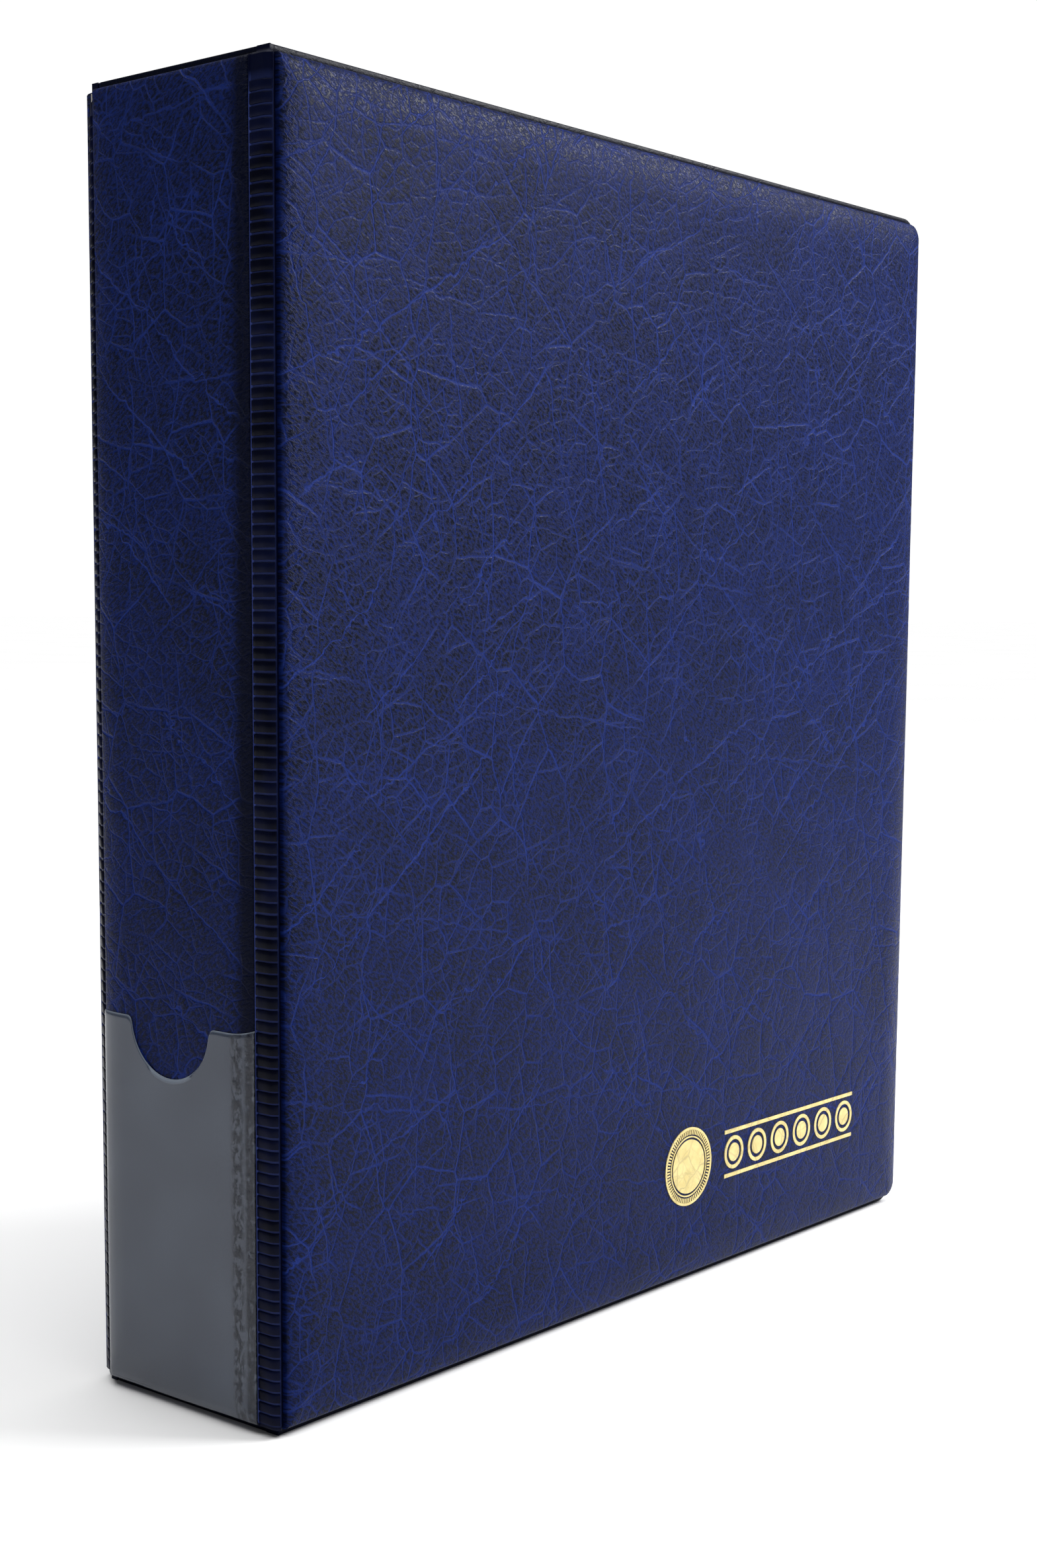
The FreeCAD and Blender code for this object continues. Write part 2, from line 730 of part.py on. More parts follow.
def pocket_film(name, x, y):
    """Two clear films welded in a grid, so that each cell is a pocket for one coin."""
    body = new_body(name, x, y + d.film_thick / 2, d.sheet_end_clear, FACING_FRONT)
    sketch = new_sketch(body)
    draw_path(sketch, rectangle(Size.of(0), Size.of(0), film_width, sheet_height))
    pad(body, sketch, d.film_thick)
    step_x = (film_width - d.film_weld) / d.pocket_columns
    step_y = (sheet_height - d.film_weld) / d.pocket_rows
    cell = new_sketch(body, d.film_thick)
    draw_path(cell, rectangle(d.film_weld, d.film_weld, step_x, step_y))
    pocket = cut(body, cell, d.film_recess)
    pattern = body.newObject("PartDesign::LinearPattern", f"{body.Name}_pattern")
    pattern.Originals = [pocket]
    pattern.Mode = "Spacing"
    pattern.Mode2 = "Spacing"
    pattern.Direction = (cell, ["H_Axis"])
    pattern.Direction2 = (cell, ["V_Axis"])
    pattern.setExpression("Offset", step_x.text)
    pattern.setExpression("Offset2", step_y.text)
    pattern.setExpression("Occurrences", d.pocket_columns.text)
    pattern.setExpression("Occurrences2", d.pocket_rows.text)
    body.Tip = pattern
    node(name, body)


for number in range(2 * SHEETS_PER_SIDE):
    offset = d.sheet_pitch * (number - SHEETS_PER_SIDE + 0.5)
    start = ring_axis + slot_centre(offset) - binding_width / 2
    binding_strip(f"coin_sheet_{number + 1}_binding", start, offset)
    pocket_film(f"coin_sheet_{number + 1}_pockets", start + binding_width, offset)

# Check and write ---------------------------------------------------------------------------------

doc.recompute()
for thing in doc.Objects:
    if "Invalid" in thing.State or "Error" in thing.State:
        raise RuntimeError(f"{thing.Name} did not compute: {thing.State}")
for label, thing in nodes.items():
    if thing.Shape.isNull() or not thing.Shape.isValid() or not thing.Shape.Solids:
        raise RuntimeError(f"{label} has no valid shape")

os.makedirs("parts", exist_ok=True)
for label, thing in nodes.items():
    thing.Shape.exportStep(os.path.join("parts", f"{label}.step"))
print(len(nodes), "nodes written")
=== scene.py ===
import math

import bmesh
import bpy
import numpy as np
from mathutils import Matrix, Vector


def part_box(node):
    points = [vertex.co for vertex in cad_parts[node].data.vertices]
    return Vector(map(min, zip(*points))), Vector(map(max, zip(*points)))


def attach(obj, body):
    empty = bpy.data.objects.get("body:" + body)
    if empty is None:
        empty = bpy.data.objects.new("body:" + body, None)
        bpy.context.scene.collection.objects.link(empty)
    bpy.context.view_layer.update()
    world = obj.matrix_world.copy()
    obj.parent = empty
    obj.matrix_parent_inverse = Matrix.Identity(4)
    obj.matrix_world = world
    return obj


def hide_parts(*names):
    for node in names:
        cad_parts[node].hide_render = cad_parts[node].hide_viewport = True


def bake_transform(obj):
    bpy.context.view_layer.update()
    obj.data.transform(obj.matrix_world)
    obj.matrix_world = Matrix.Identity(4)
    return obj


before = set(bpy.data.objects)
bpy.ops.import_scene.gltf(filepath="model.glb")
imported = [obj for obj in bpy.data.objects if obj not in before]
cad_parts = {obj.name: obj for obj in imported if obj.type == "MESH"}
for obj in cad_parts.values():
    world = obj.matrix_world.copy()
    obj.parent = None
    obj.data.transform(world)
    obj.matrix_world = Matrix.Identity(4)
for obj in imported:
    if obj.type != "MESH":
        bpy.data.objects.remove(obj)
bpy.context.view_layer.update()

MM = 0.001

# ---------------------------------------------------------------------------
# Node trees: sums on values, and one method for every other node
# ---------------------------------------------------------------------------


class Value:
    """One output of a node. Sums on it add Math nodes to its tree."""

    def __init__(self, graph, socket):
        self.graph = graph
        self.socket = socket

    def math(self, operation, *terms):
        return self.graph.add("ShaderNodeMath", {"operation": operation}, dict(enumerate(terms)))

    def __add__(self, other):
        return self.math("ADD", self, other)

    def __radd__(self, other):
        return self.math("ADD", other, self)

    def __sub__(self, other):
        return self.math("SUBTRACT", self, other)

    def __rsub__(self, other):
        return self.math("SUBTRACT", other, self)

    def __mul__(self, other):
        return self.math("MULTIPLY", self, other)

    def __rmul__(self, other):
        return self.math("MULTIPLY", other, self)

    def __truediv__(self, other):
        return self.math("DIVIDE", self, other)

    def larger(self, other):
        return self.math("MAXIMUM", self, other)

    def smaller(self, other):
        return self.math("MINIMUM", self, other)

    def size(self):
        return self.math("ABSOLUTE", self)

    def fade(self, low, high):
        """0 up to low, 1 from high on, and smooth between them."""
        settings = {"interpolation_type": "SMOOTHSTEP"}
        values = {"Value": self, "From Min": low, "From Max": high}
        return self.graph.add("ShaderNodeMapRange", settings, values)


class Graph:
    """The node tree of a material or of a Geometry Nodes modifier."""

    def __init__(self, tree):
        self.tree = tree

    def add(self, kind, settings=None, values=None, output=0):
        """Adds a node of any kind, with its settings first, and gives one of its outputs."""
        made = self.tree.nodes.new(kind)
        for name, setting in (settings or {}).items():
            setattr(made, name, setting)
        for key, value in (values or {}).items():
            self.feed(made.inputs[key], value)
        return Value(self, made.outputs[output]) if len(made.outputs) else made

    def feed(self, socket, value):
        if isinstance(value, Value):
            self.tree.links.new(value.socket, socket)
        else:
            socket.default_value = value

    def mix(self, share, first, second):
        """A colour between two colours."""
        settings = {"data_type": "RGBA"}
        return self.add("ShaderNodeMix", settings, {0: share, 6: first, 7: second}, output=2)

    def vector(self, operation, first, second):
        return self.add("ShaderNodeVectorMath", {"operation": operation}, {0: first, 1: second})

    def scaled(self, vector, factor):
        return self.add("ShaderNodeVectorMath", {"operation": "SCALE"}, {0: vector, 3: factor})

    def noise(self, place, scale, detail=2.0, roughness=0.5, output=0):
        values = {"Vector": place, "Scale": scale, "Detail": detail, "Roughness": roughness}
        return self.add("ShaderNodeTexNoise", {"noise_dimensions": "3D"}, values, output)

    def edges(self, place, scale=1.0):
        """Distance to the nearest border between Voronoi cells, in the plane."""
        settings = {"voronoi_dimensions": "2D", "feature": "DISTANCE_TO_EDGE"}
        return self.add("ShaderNodeTexVoronoi", settings, {"Vector": place, "Scale": scale})


def parts_of(graph, vector):
    """A vector's three values."""
    split = graph.tree.nodes.new("ShaderNodeSeparateXYZ")
    graph.feed(split.inputs[0], vector)
    return [Value(graph, socket) for socket in split.outputs]


def in_plane(graph, place, across):
    """The point's place in its panel's plane, in millimetres: across the panel, then up."""
    x, y, z = parts_of(graph, place)
    side = x if across == "X" else y
    return graph.add("ShaderNodeCombineXYZ", None, {"X": side / MM, "Y": z / MM})


# Long creases: turn in degrees, spacing between them, strength. Lengths are in millimetres
LONG_CREASES = ((-40, 17, 1.0), (-27, 29, 0.9), (76, 19, 0.8), (98, 30, 0.7), (40, 26, 0.75),
                (8, 33, 0.6))
# Network of short creases: cell, line's half width in cells, strength
NETWORK = ((11.5, 0.024, 0.85), (6.0, 0.038, 0.70), (3.0, 0.075, 0.45))
LINE_CORE = 0.06
LINE_EDGE = 0.30
SWAY = 9.0
WARP_WIDE = 3.0
WARP_FINE = 0.55


def rotated(graph, flat, degrees):
    """The plane turned about its normal."""
    settings = {"rotation_type": "Z_AXIS"}
    return graph.add("ShaderNodeVectorRotate", settings, {"Vector": flat, "Angle": math.radians(degrees)})


def long_creases(graph, flat, turn, spacing, widen):
    """Nearly straight creases that lie one way, each broken into stretches of its own."""
    turned = rotated(graph, flat, turn)
    sway = graph.noise(graph.vector("MULTIPLY", turned, (0.016, 0.02, 1.0)), 1.0, 1.0)
    along, across, _ = parts_of(graph, turned)
    row = (across + (sway - 0.5) * SWAY) / spacing
    number = row.math("FLOOR", row)
    shift = graph.add("ShaderNodeTexWhiteNoise", {"noise_dimensions": "1D"}, {"W": number + turn * 3.7})
    off = (row.math("FRACT", row) - 0.5 - (shift - 0.5) * 0.75).size() * spacing
    stretch = graph.add("ShaderNodeCombineXYZ", None, {"X": along / 30.0, "Y": number * 5.3})
    here = graph.noise(stretch, 1.0, 1.0).fade(0.46, 0.56)
    return (1.0 - off.fade(LINE_CORE, LINE_EDGE * widen)) * here


def creases(graph, flat, seed, widen=1.0):
    """How deep in a crease of the embossing each point of the leather is, from 0 to 1."""
    start = graph.vector("ADD", flat, (seed * 37.0, seed * 91.0, seed * 11.0))
    wide = graph.vector("SUBTRACT", graph.noise(start, 0.085, output=1), (0.5, 0.5, 0.5))
    fine = graph.vector("SUBTRACT", graph.noise(start, 0.6, 1.5, output=1), (0.5, 0.5, 0.5))
    bent = graph.vector("ADD", start, graph.scaled(wide, WARP_WIDE))
    bent = graph.vector("ADD", bent, graph.scaled(fine, WARP_FINE))
    deepest = None
    for turn, spacing, strength in LONG_CREASES:
        layer = long_creases(graph, bent, turn, spacing, widen) * strength
        deepest = layer if deepest is None else deepest.larger(layer)
    for number, (cell, line, strength) in enumerate(NETWORK):
        cells = graph.scaled(rotated(graph, bent, 31.0 * number), 1 / cell)
        cells = graph.vector("MULTIPLY", cells, (1.0, 0.72, 1.0))
        near = 1.0 - graph.edges(cells).fade(line * 0.2, line * widen)
        here = graph.noise(start, 0.05 + 0.02 * number, 1.5).fade(0.38, 0.60)
        deepest = deepest.larger(near * (0.15 + 0.85 * here) * strength)
    return deepest


def material(name):
    """A new material, the graph of its nodes, and its shader."""
    made = bpy.data.materials.new(name)
    made.use_nodes = True
    graph = Graph(made.node_tree)
    shader = made.node_tree.nodes["Principled BSDF"]
    return made, graph, shader


def object_place(graph):
    """The point's place in its object, which is its place in the frame."""
    return graph.add("ShaderNodeTexCoord", None, None, output=3)


def bump(graph, height, distance):
    """A normal bent by a height, where a height of 1 stands for the distance."""
    return graph.add("ShaderNodeBump", None, {"Strength": 1.0, "Distance": distance, "Height": height})


def finish_shader(graph, shader, values):
    """Sets or links the shader's sockets by name."""
    for name, value in values.items():
        graph.feed(shader.inputs[name], value)


# ---------------------------------------------------------------------------
# Leatherette
# ---------------------------------------------------------------------------

GROUND = (0.0030, 0.0042, 0.0100, 1.0)
GROUND_BLUE = (0.0038, 0.0115, 0.0810, 1.0)
CREASE_BLUE = (0.0115, 0.0320, 0.2150, 1.0)
# Dark of the flat weld, and also the colour of the painted shade on the spine's roll
WELD_DARK_AND_SHADE = (0.0008, 0.0018, 0.0090, 1.0)
SPINE_ROLL_PAINTED_SHADE = (-17.2, -14.4)     # painted shade on the spine's roll beside the front ladder, darkened in its colour


def leather(name, across, seed, side_light_from, side_light_to):
    """Embossed leatherette: dark raised ground, blue in its creases, and a fine pebble all over; painted
    light makes the ground bluer towards one side, and on the spine painted shade darkens the roll beside
    the front ladder.
    """
    made, graph, shader = material(name)
    place = object_place(graph)
    flat = in_plane(graph, place, across)
    crease = creases(graph, flat, seed)
    stretched = graph.vector("MULTIPLY", rotated(graph, flat, 36), (0.62, 1.25, 1.0))
    pebble = graph.noise(stretched, 1.6, 3.5, 0.68).fade(0.40, 0.58)
    coarse = graph.noise(flat, 0.06, 2.0)
    side = parts_of(graph, flat)[0]
    # Painted light: the ground turns a little bluer and brighter towards one side of the panel, where
    # more light falls
    painted_side_light = side.fade(side_light_from, side_light_to)
    bluer = painted_side_light * 0.12 + coarse.fade(0.35, 0.7) * 0.20 + (1.0 - pebble) * 0.80
    bluer = bluer.smaller(1.0)
    ground = graph.mix(bluer, GROUND, GROUND_BLUE)
    coloured = graph.mix(crease * (0.36 + 0.34 * pebble), ground, CREASE_BLUE)
    weld = graph.add("ShaderNodeAttribute", {"attribute_name": "weld"}, None, output=2)
    # Painted shade: the spine's colour darkens over its roll beside the front ladder, where the roll
    # turns away from the light
    painted_roll_shade = 1.0 - side.fade(*SPINE_ROLL_PAINTED_SHADE) if across == "Y" else 0.0
    base = graph.mix(weld.larger(painted_roll_shade * 0.94), coloured, WELD_DARK_AND_SHADE)
    height = (pebble * 0.65 - crease * 1.3) * (1.0 - weld * 0.7)
    values = {
        "Base Color": base,
        "Roughness": 0.31 + crease * 0.12 + (1.0 - pebble) * 0.06,
        "Normal": bump(graph, height, 0.09 * MM),
        "Specular IOR Level": 0.06,
    }
    finish_shader(graph, shader, values)
    return made


LEATHER = {
    "front": leather("navy_leather_front", "X", 1.0, -95.0, 95.0),
    "rear": leather("navy_leather_rear", "X", 5.0, -95.0, 95.0),
    "spine": leather("navy_leather_spine", "Y", 9.0, -60.0, 60.0),
}

# ---------------------------------------------------------------------------
# Padded panels
# ---------------------------------------------------------------------------

PANEL_RISE = 3.6         # leather's outer face above its weld to the liner
CORNER = 5.0             # fore-edge corners of the covers
# The leather's section from its edge inwards: distance in from the free edges, from the hinge, and rise
SECTION = (
    (0.00, 0.00, 0.00),
    (0.00, 0.00, 0.20),
    (0.05, 0.01, 0.33),
    (0.22, 0.02, 0.42),
    (0.70, 0.03, 0.44),
    (1.05, 0.04, 0.42),
    (1.22, 0.05, 0.36),
    (1.32, 0.05, 0.46),
    (1.37, 0.06, 0.90),
    (1.41, 0.06, 1.45),
    (1.48, 0.08, 1.90),
    (1.68, 0.16, 2.28),
    (2.10, 0.40, 2.56),
    (2.80, 0.80, 2.80),
    (3.80, 1.40, 3.02),
    (4.90, 2.20, 3.23),
    (6.20, 3.20, 3.41),
    (7.70, 4.40, 3.53),
    (9.40, 5.80, 3.60),
)
SPINE_FRONT_TUCK = 1.64  # spine's leather short of its hinges
SPINE_REAR_TUCK = 0.90
WELD_LOOPS = 8           # how many of those lie on the flat weld
INNER = (
    (1.52, 0.03, 0.00),
    (1.72, 0.05, 0.02),
    (1.98, 0.12, 1.40),
    (2.16, 0.20, 2.02),
    (2.60, 0.60, 2.30),
    (3.80, 1.40, 2.64),
    (6.20, 3.20, 3.02),
    (9.40, 5.80, 3.20),
)


class Panel:
    """Where one padded panel lies: across and up in its plane, and rise out of it."""

    def __init__(self, name, near, far, origin, flip, axis, corner, both_hinged=False):
        self.name = name
        self.near = near
        self.far = far
        self.origin = origin
        self.flip = flip
        self.axis = axis
        self.corner = corner
        self.both_hinged = both_hinged

    def point(self, across, up, rise):
        """A point of the panel in the frame, from millimetres."""
        out = self.origin + self.flip * rise
        if self.axis == "Y":
            return (across * MM, out * MM, up * MM)
        return (out * MM, across * MM, up * MM)

    def loop(self, free, hinge, rise, columns, rows):
        """One closed ring of points, drawn in from the panel's edges."""
        left = self.near + hinge
        right = self.far - (hinge if self.both_hinged else free)
        low = free
        high = HEIGHT - free
        radius = 0.0 if self.both_hinged else max(self.corner - free, 0.0)
        points = side_points((left, low), (right, low), columns, 0.0, radius, (0.0, 1.0))
        points += side_points((right, low), (right, high), rows, radius, radius, (-1.0, 0.0))
        points += side_points((right, high), (left, high), columns, radius, 0.0, (0.0, -1.0))
        points += side_points((left, high), (left, low), rows, 0.0, 0.0, (1.0, 0.0))
        return [self.point(across, up, rise) for across, up in points]


def side_points(start, end, count, first_radius, last_radius, inward):
    """Points along one side, from the middle of one corner's arc to just before the next one's."""
    start = np.array(start)
    end = np.array(end)
    along = (end - start) / np.linalg.norm(end - start)
    inward = np.array(inward)
    length = np.linalg.norm(end - start)
    eighth = math.pi / 4
    first_arc = first_radius * eighth
    last_arc = last_radius * eighth
    straight = length - first_radius - last_radius
    whole = first_arc + straight + last_arc
    points = []
    for step in range(count):
        done = whole * step / count
        if done < first_arc:
            angle = eighth - done / first_radius
            shift = first_radius * (1 - math.sin(angle))
            point = start + along * shift + inward * first_radius * (1 - math.cos(angle))
        elif done <= first_arc + straight:
            point = start + along * (first_radius + done - first_arc)
        else:
            angle = (done - first_arc - straight) / last_radius
            shift = length - last_radius * (1 - math.sin(angle))
            point = start + along * shift + inward * last_radius * (1 - math.cos(angle))
        points.append(tuple(point))
    return points


front_low, front_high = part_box("front_outer_skin")
HEIGHT = front_high.z / MM
rear_low, rear_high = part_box("rear_outer_skin")
spine_low, spine_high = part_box("spine_outer_skin")

FRONT = Panel("front", front_low.x / MM, front_high.x / MM, front_high.y / MM, -1, "Y", CORNER)
REAR = Panel("rear", rear_low.x / MM, rear_high.x / MM, rear_low.y / MM, 1, "Y", CORNER)
SPINE = Panel("spine", spine_low.y / MM + SPINE_FRONT_TUCK, spine_high.y / MM - SPINE_REAR_TUCK,
              spine_high.x / MM, -1, "X", 0, both_hinged=True)


def new_object(name, points, faces, materials=()):
    """An object at the origin, with its points in metres."""
    mesh = bpy.data.meshes.new(name)
    mesh.from_pydata([tuple(p) for p in points], [], [tuple(f) for f in faces])
    made = bpy.data.objects.new(name, mesh)
    bpy.context.scene.collection.objects.link(made)
    for m in materials:
        mesh.materials.append(m)
    mesh.validate()
    return made


def outward(made):
    """Turns a closed mesh's faces outwards."""
    work = bmesh.new()
    work.from_mesh(made.data)
    bmesh.ops.recalc_face_normals(work, faces=work.faces)
    if work.calc_volume(signed=True) < 0:
        bmesh.ops.reverse_faces(work, faces=work.faces)
    work.to_mesh(made.data)
    work.free()


def smooth(made, angle=40):
    """Shades the mesh smooth, with its sharper corners kept."""
    made.data.polygons.foreach_set("use_smooth", np.ones(len(made.data.polygons), bool))
    made.data.set_sharp_from_angle(angle=math.radians(angle))


def ring_faces(first, second, count):
    """Faces between two closed rings of points, from their first points' numbers."""
    pairs = [(k, (k + 1) % count) for k in range(count)]
    return [(first + k, first + after, second + after, second + k) for k, after in pairs]


def cushion_shape(panel, section, inner, columns, rows):
    """A closed cushion: its section round the edge, a grid over its face, and its inner side."""
    count = 2 * (columns + rows)
    points = []
    weld = []
    face_share = []
    for number, (free, hinge, rise) in enumerate(section):
        points += panel.loop(free, hinge, rise, columns, rows)
        weld += [1.0 if number < WELD_LOOPS else 0.0] * count
        raised = max(number - WELD_LOOPS - 2, 0) / (len(section) - WELD_LOOPS - 3)
        face_share += [min(raised * 1.6, 1.0)] * count
    faces = []
    for number in range(len(section) - 1):
        faces += ring_faces(number * count, (number + 1) * count, count)
    last = (len(section) - 1) * count
    free, hinge, rise = section[-1]
    left = panel.near + hinge
    right = panel.far - (hinge if panel.both_hinged else free)
    grid = {}
    for row in range(rows + 1):
        for column in range(columns + 1):
            if row == 0:
                grid[column, row] = last + column
            elif column == columns:
                grid[column, row] = last + columns + row
            elif row == rows:
                grid[column, row] = last + columns + rows + (columns - column)
            elif column == 0:
                grid[column, row] = last + 2 * columns + rows + (rows - row)
            else:
                across = left + (right - left) * column / columns
                up = free + (HEIGHT - 2 * free) * row / rows
                grid[column, row] = len(points)
                points.append(panel.point(across, up, rise))
                weld.append(0.0)
                face_share.append(1.0)
    for row in range(rows):
        for column in range(columns):
            corners = ((0, 0), (1, 0), (1, 1), (0, 1))
            faces.append(tuple(grid[column + right_by, row + up_by] for right_by, up_by in corners))
    previous = 0
    for free, hinge, rise in inner:
        start = len(points)
        points += panel.loop(free, hinge, rise, columns, rows)
        weld += [0.0] * count
        face_share += [0.0] * count
        faces += ring_faces(start, previous, count)
        previous = start
    faces.append(tuple(range(previous, previous + count)))
    return points, faces, weld, face_share


def add_attribute(mesh, name, values):
    """One number for each point, which a finish or a tree can read."""
    attribute = mesh.attributes.new(name, "FLOAT", "POINT")
    attribute.data.foreach_set("value", np.array(values, np.float32))


def modifier_tree(name, inputs):
    """A new Geometry Nodes tree with named inputs: its graph, and the values its inputs give."""
    tree = bpy.data.node_groups.new(name, "GeometryNodeTree")
    tree.interface.new_socket("Geometry", in_out="INPUT", socket_type="NodeSocketGeometry")
    for label, kind in inputs:
        tree.interface.new_socket(label, in_out="INPUT", socket_type=kind)
    tree.interface.new_socket("Geometry", in_out="OUTPUT", socket_type="NodeSocketGeometry")
    graph = Graph(tree)
    entry = tree.nodes.new("NodeGroupInput")
    named = {s.name: Value(graph, s) for s in entry.outputs if s.name}
    return graph, named


def close_tree(graph, geometry, finish):
    """Ends a tree in Realize Instances and Set Material."""
    real = graph.add("GeometryNodeRealizeInstances", None, {0: geometry})
    done = graph.add("GeometryNodeSetMaterial", None, {"Geometry": real, "Material": finish})
    ending = graph.tree.nodes.new("NodeGroupOutput")
    graph.feed(ending.inputs[0], done)


def run_tree(made, tree, values):
    """Runs a Geometry Nodes tree on an object and keeps the result as its plain mesh."""
    modifier = made.modifiers.new("shape", "NODES")
    modifier.node_group = tree
    for item in tree.interface.items_tree:
        if item.item_type == "SOCKET" and item.in_out == "INPUT" and item.name in values:
            modifier[item.identifier] = values[item.name]
    bpy.context.view_layer.update()
    depsgraph = bpy.context.evaluated_depsgraph_get()
    result = bpy.data.meshes.new_from_object(made.evaluated_get(depsgraph))
    made.modifiers.clear()
    old = made.data
    made.data = result
    bpy.data.meshes.remove(old)
    result.name = made.name
    return made


CREASE_DEPTH = 0.10
UNEVENNESS = 0.12
PRESSED_WIDER = 2.6      # creases of the mesh against those of the finish


def emboss_tree(panel, across, seed):
    """Presses the creases and a slight unevenness into a panel's face."""
    inputs = (("Crease depth", "NodeSocketFloat"), ("Unevenness", "NodeSocketFloat"),
              ("Finish", "NodeSocketMaterial"))
    graph, given = modifier_tree(f"{panel.name}_emboss", inputs)
    place = graph.add("GeometryNodeInputPosition")
    flat = in_plane(graph, place, across)
    crease = creases(graph, flat, seed, PRESSED_WIDER)
    waves = graph.noise(flat, 0.028, 1.0).fade(0.3, 0.7)
    share = graph.add("GeometryNodeInputNamedAttribute", {"data_type": "FLOAT"}, {"Name": "face_share"})
    depth = (crease * given["Crease depth"] + waves * given["Unevenness"]) * share
    offset = {"X": 0.0, "Y": 0.0, "Z": 0.0, panel.axis: depth * (-panel.flip * MM)}
    vector = graph.add("ShaderNodeCombineXYZ", None, offset)
    moved = {"Geometry": given["Geometry"], "Offset": vector}
    pressed = graph.add("GeometryNodeSetPosition", None, moved)
    close_tree(graph, pressed, given["Finish"])
    return graph.tree


def leather_panel(name, panel, seed, columns, rows, body, node):
    """Leatherette over one panel, padded and embossed."""
    points, faces, weld, face_share = cushion_shape(panel, SECTION, INNER, columns, rows)
    made = new_object(name, points, faces)
    add_attribute(made.data, "weld", weld)
    add_attribute(made.data, "face_share", face_share)
    outward(made)
    across = "Y" if panel.axis == "X" else "X"
    tree = emboss_tree(panel, across, seed)
    values = {"Crease depth": CREASE_DEPTH, "Unevenness": UNEVENNESS, "Finish": LEATHER[panel.name]}
    run_tree(made, tree, values)
    smooth(made, 50)
    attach(made, body)
    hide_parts(node)


leather_panel("front_cover_leather", FRONT, 1.0, 250, 280, "front_cover", "front_outer_skin")
leather_panel("rear_cover_leather", REAR, 5.0, 250, 280, "rear_cover", "rear_outer_skin")
leather_panel("spine_leather", SPINE, 9.0, 50, 330, "spine", "spine_outer_skin")

# ---------------------------------------------------------------------------
# Foam under the leather
# ---------------------------------------------------------------------------

FOAM_SECTION = ((2.30, 0.48, 2.02), (2.34, 0.50, 2.10), (2.66, 0.66, 2.26), (3.80, 1.44, 2.60),
                (6.20, 3.24, 2.98), (9.40, 5.85, 3.17))


def foam_finish():
    """Thin open-cell foam."""
    made, graph, shader = material("pale_foam")
    place = object_place(graph)
    settings = {"voronoi_dimensions": "3D", "feature": "F1"}
    cells = graph.add("ShaderNodeTexVoronoi", settings, {"Vector": place, "Scale": 1400.0})
    tone = graph.noise(place, 90.0, 3.0).fade(0.3, 0.7)
    base = graph.mix(tone, (0.74, 0.73, 0.69, 1), (0.82, 0.81, 0.78, 1))
    values = {"Base Color": graph.mix(cells.fade(0.1, 0.7) * 0.5, (0.55, 0.54, 0.5, 1), base),
              "Roughness": 0.9 - tone * 0.08, "Normal": bump(graph, cells, 0.3 * MM)}
    finish_shader(graph, shader, values)
    return made


FOAM = foam_finish()


def foam_panel(name, panel, columns, rows, body, node):
    """The foam that fills the leatherette of one panel."""
    inner = ((3.0, 1.2, 2.02),)
    points, faces = cushion_shape(panel, FOAM_SECTION, inner, columns, rows)[:2]
    made = new_object(name, points, faces, [FOAM])
    outward(made)
    smooth(made, 50)
    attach(made, body)
    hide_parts(node)


foam_panel("front_cover_foam", FRONT, 40, 44, "front_cover", "front_padding")
foam_panel("rear_cover_foam", REAR, 40, 44, "rear_cover", "rear_padding")
foam_panel("spine_foam", SPINE, 16, 60, "spine", "spine_padding")

# ---------------------------------------------------------------------------
# Ladder hinges at the spine's corners
# ---------------------------------------------------------------------------

SPINE_FACE = spine_low.x / MM
WELD_CENTRE = 3.0        # front bend's centre in from both outer faces
WELD_BEND = 2.0
PAD_LENGTH = 3.66
PAD_PITCH = 2.0
PAD_GROOVE = 0.30
LADDER_LOW = 2.3
LADDER_HIGH = 226.2
# The base strip's section: place along the ladder, and height against the pads' tops
STRIP = ((-0.30, -0.62), (-0.20, -0.34), (-0.12, -0.12), (-0.05, -0.05), (0.02, -0.14), (0.10, -0.32),
         (0.35, -0.34), (0.70, -0.34), (1.05, -0.34), (1.40, -0.34), (1.75, -0.34), (2.10, -0.34),
         (2.45, -0.34), (2.80, -0.34), (3.15, -0.34), (3.42, -0.34), (3.56, -0.32), (3.64, -0.18),
         (3.72, -0.10), (3.82, -0.20), (3.94, -0.50), (4.08, -0.82), (4.26, -1.05), (4.60, -1.15),
         (5.00, -1.20))
FLANGE_LEVEL = 3.18
LADDER_EXTRA = {-1: 1.4, 1: 0.0}     # how much further each ladder reaches over the spine
FLANGE_FROM = {-1: 228.1, 1: 226.5}  # height at which each strip starts to sink to the flat weld
STRETCH_FROM = 0.35
STRETCH_TO = 3.42


def widened(side, along):
    """The place along a ladder once its middle is stretched to its full width."""
    share = min(max((along - STRETCH_FROM) / (STRETCH_TO - STRETCH_FROM), 0.0), 1.0)
    return along + LADDER_EXTRA[side] * share


def front_line():
    """The front hinge's section: in from the spine's face, and in from the cover's face."""
    arc = [math.radians(a) for a in range(0, 91, 6)]
    bend = [(WELD_CENTRE - WELD_BEND * math.cos(a), WELD_CENTRE - WELD_BEND * math.sin(a)) for a in arc]
    reach = LADDER_EXTRA[-1]
    return [(1.0, 5.6 + reach), (1.0, 4.55 + reach)] + bend + [(5.0, 1.0)]


def rear_line():
    """The rear hinge's section, which the closed cover pulls further in."""
    route = ((1.08, 6.6), (1.12, 5.45), (1.20, 4.85), (1.46, 4.25), (1.96, 3.50), (2.62, 2.75),
             (3.50, 2.00), (4.60, 1.30))
    steps = np.linspace(0, 1, len(route))
    fine = np.linspace(0, 1, 40)
    inward, behind = (np.interp(fine, steps, values) for values in zip(*route))
    return [(float(a), float(b)) for a, b in zip(inward, behind)]


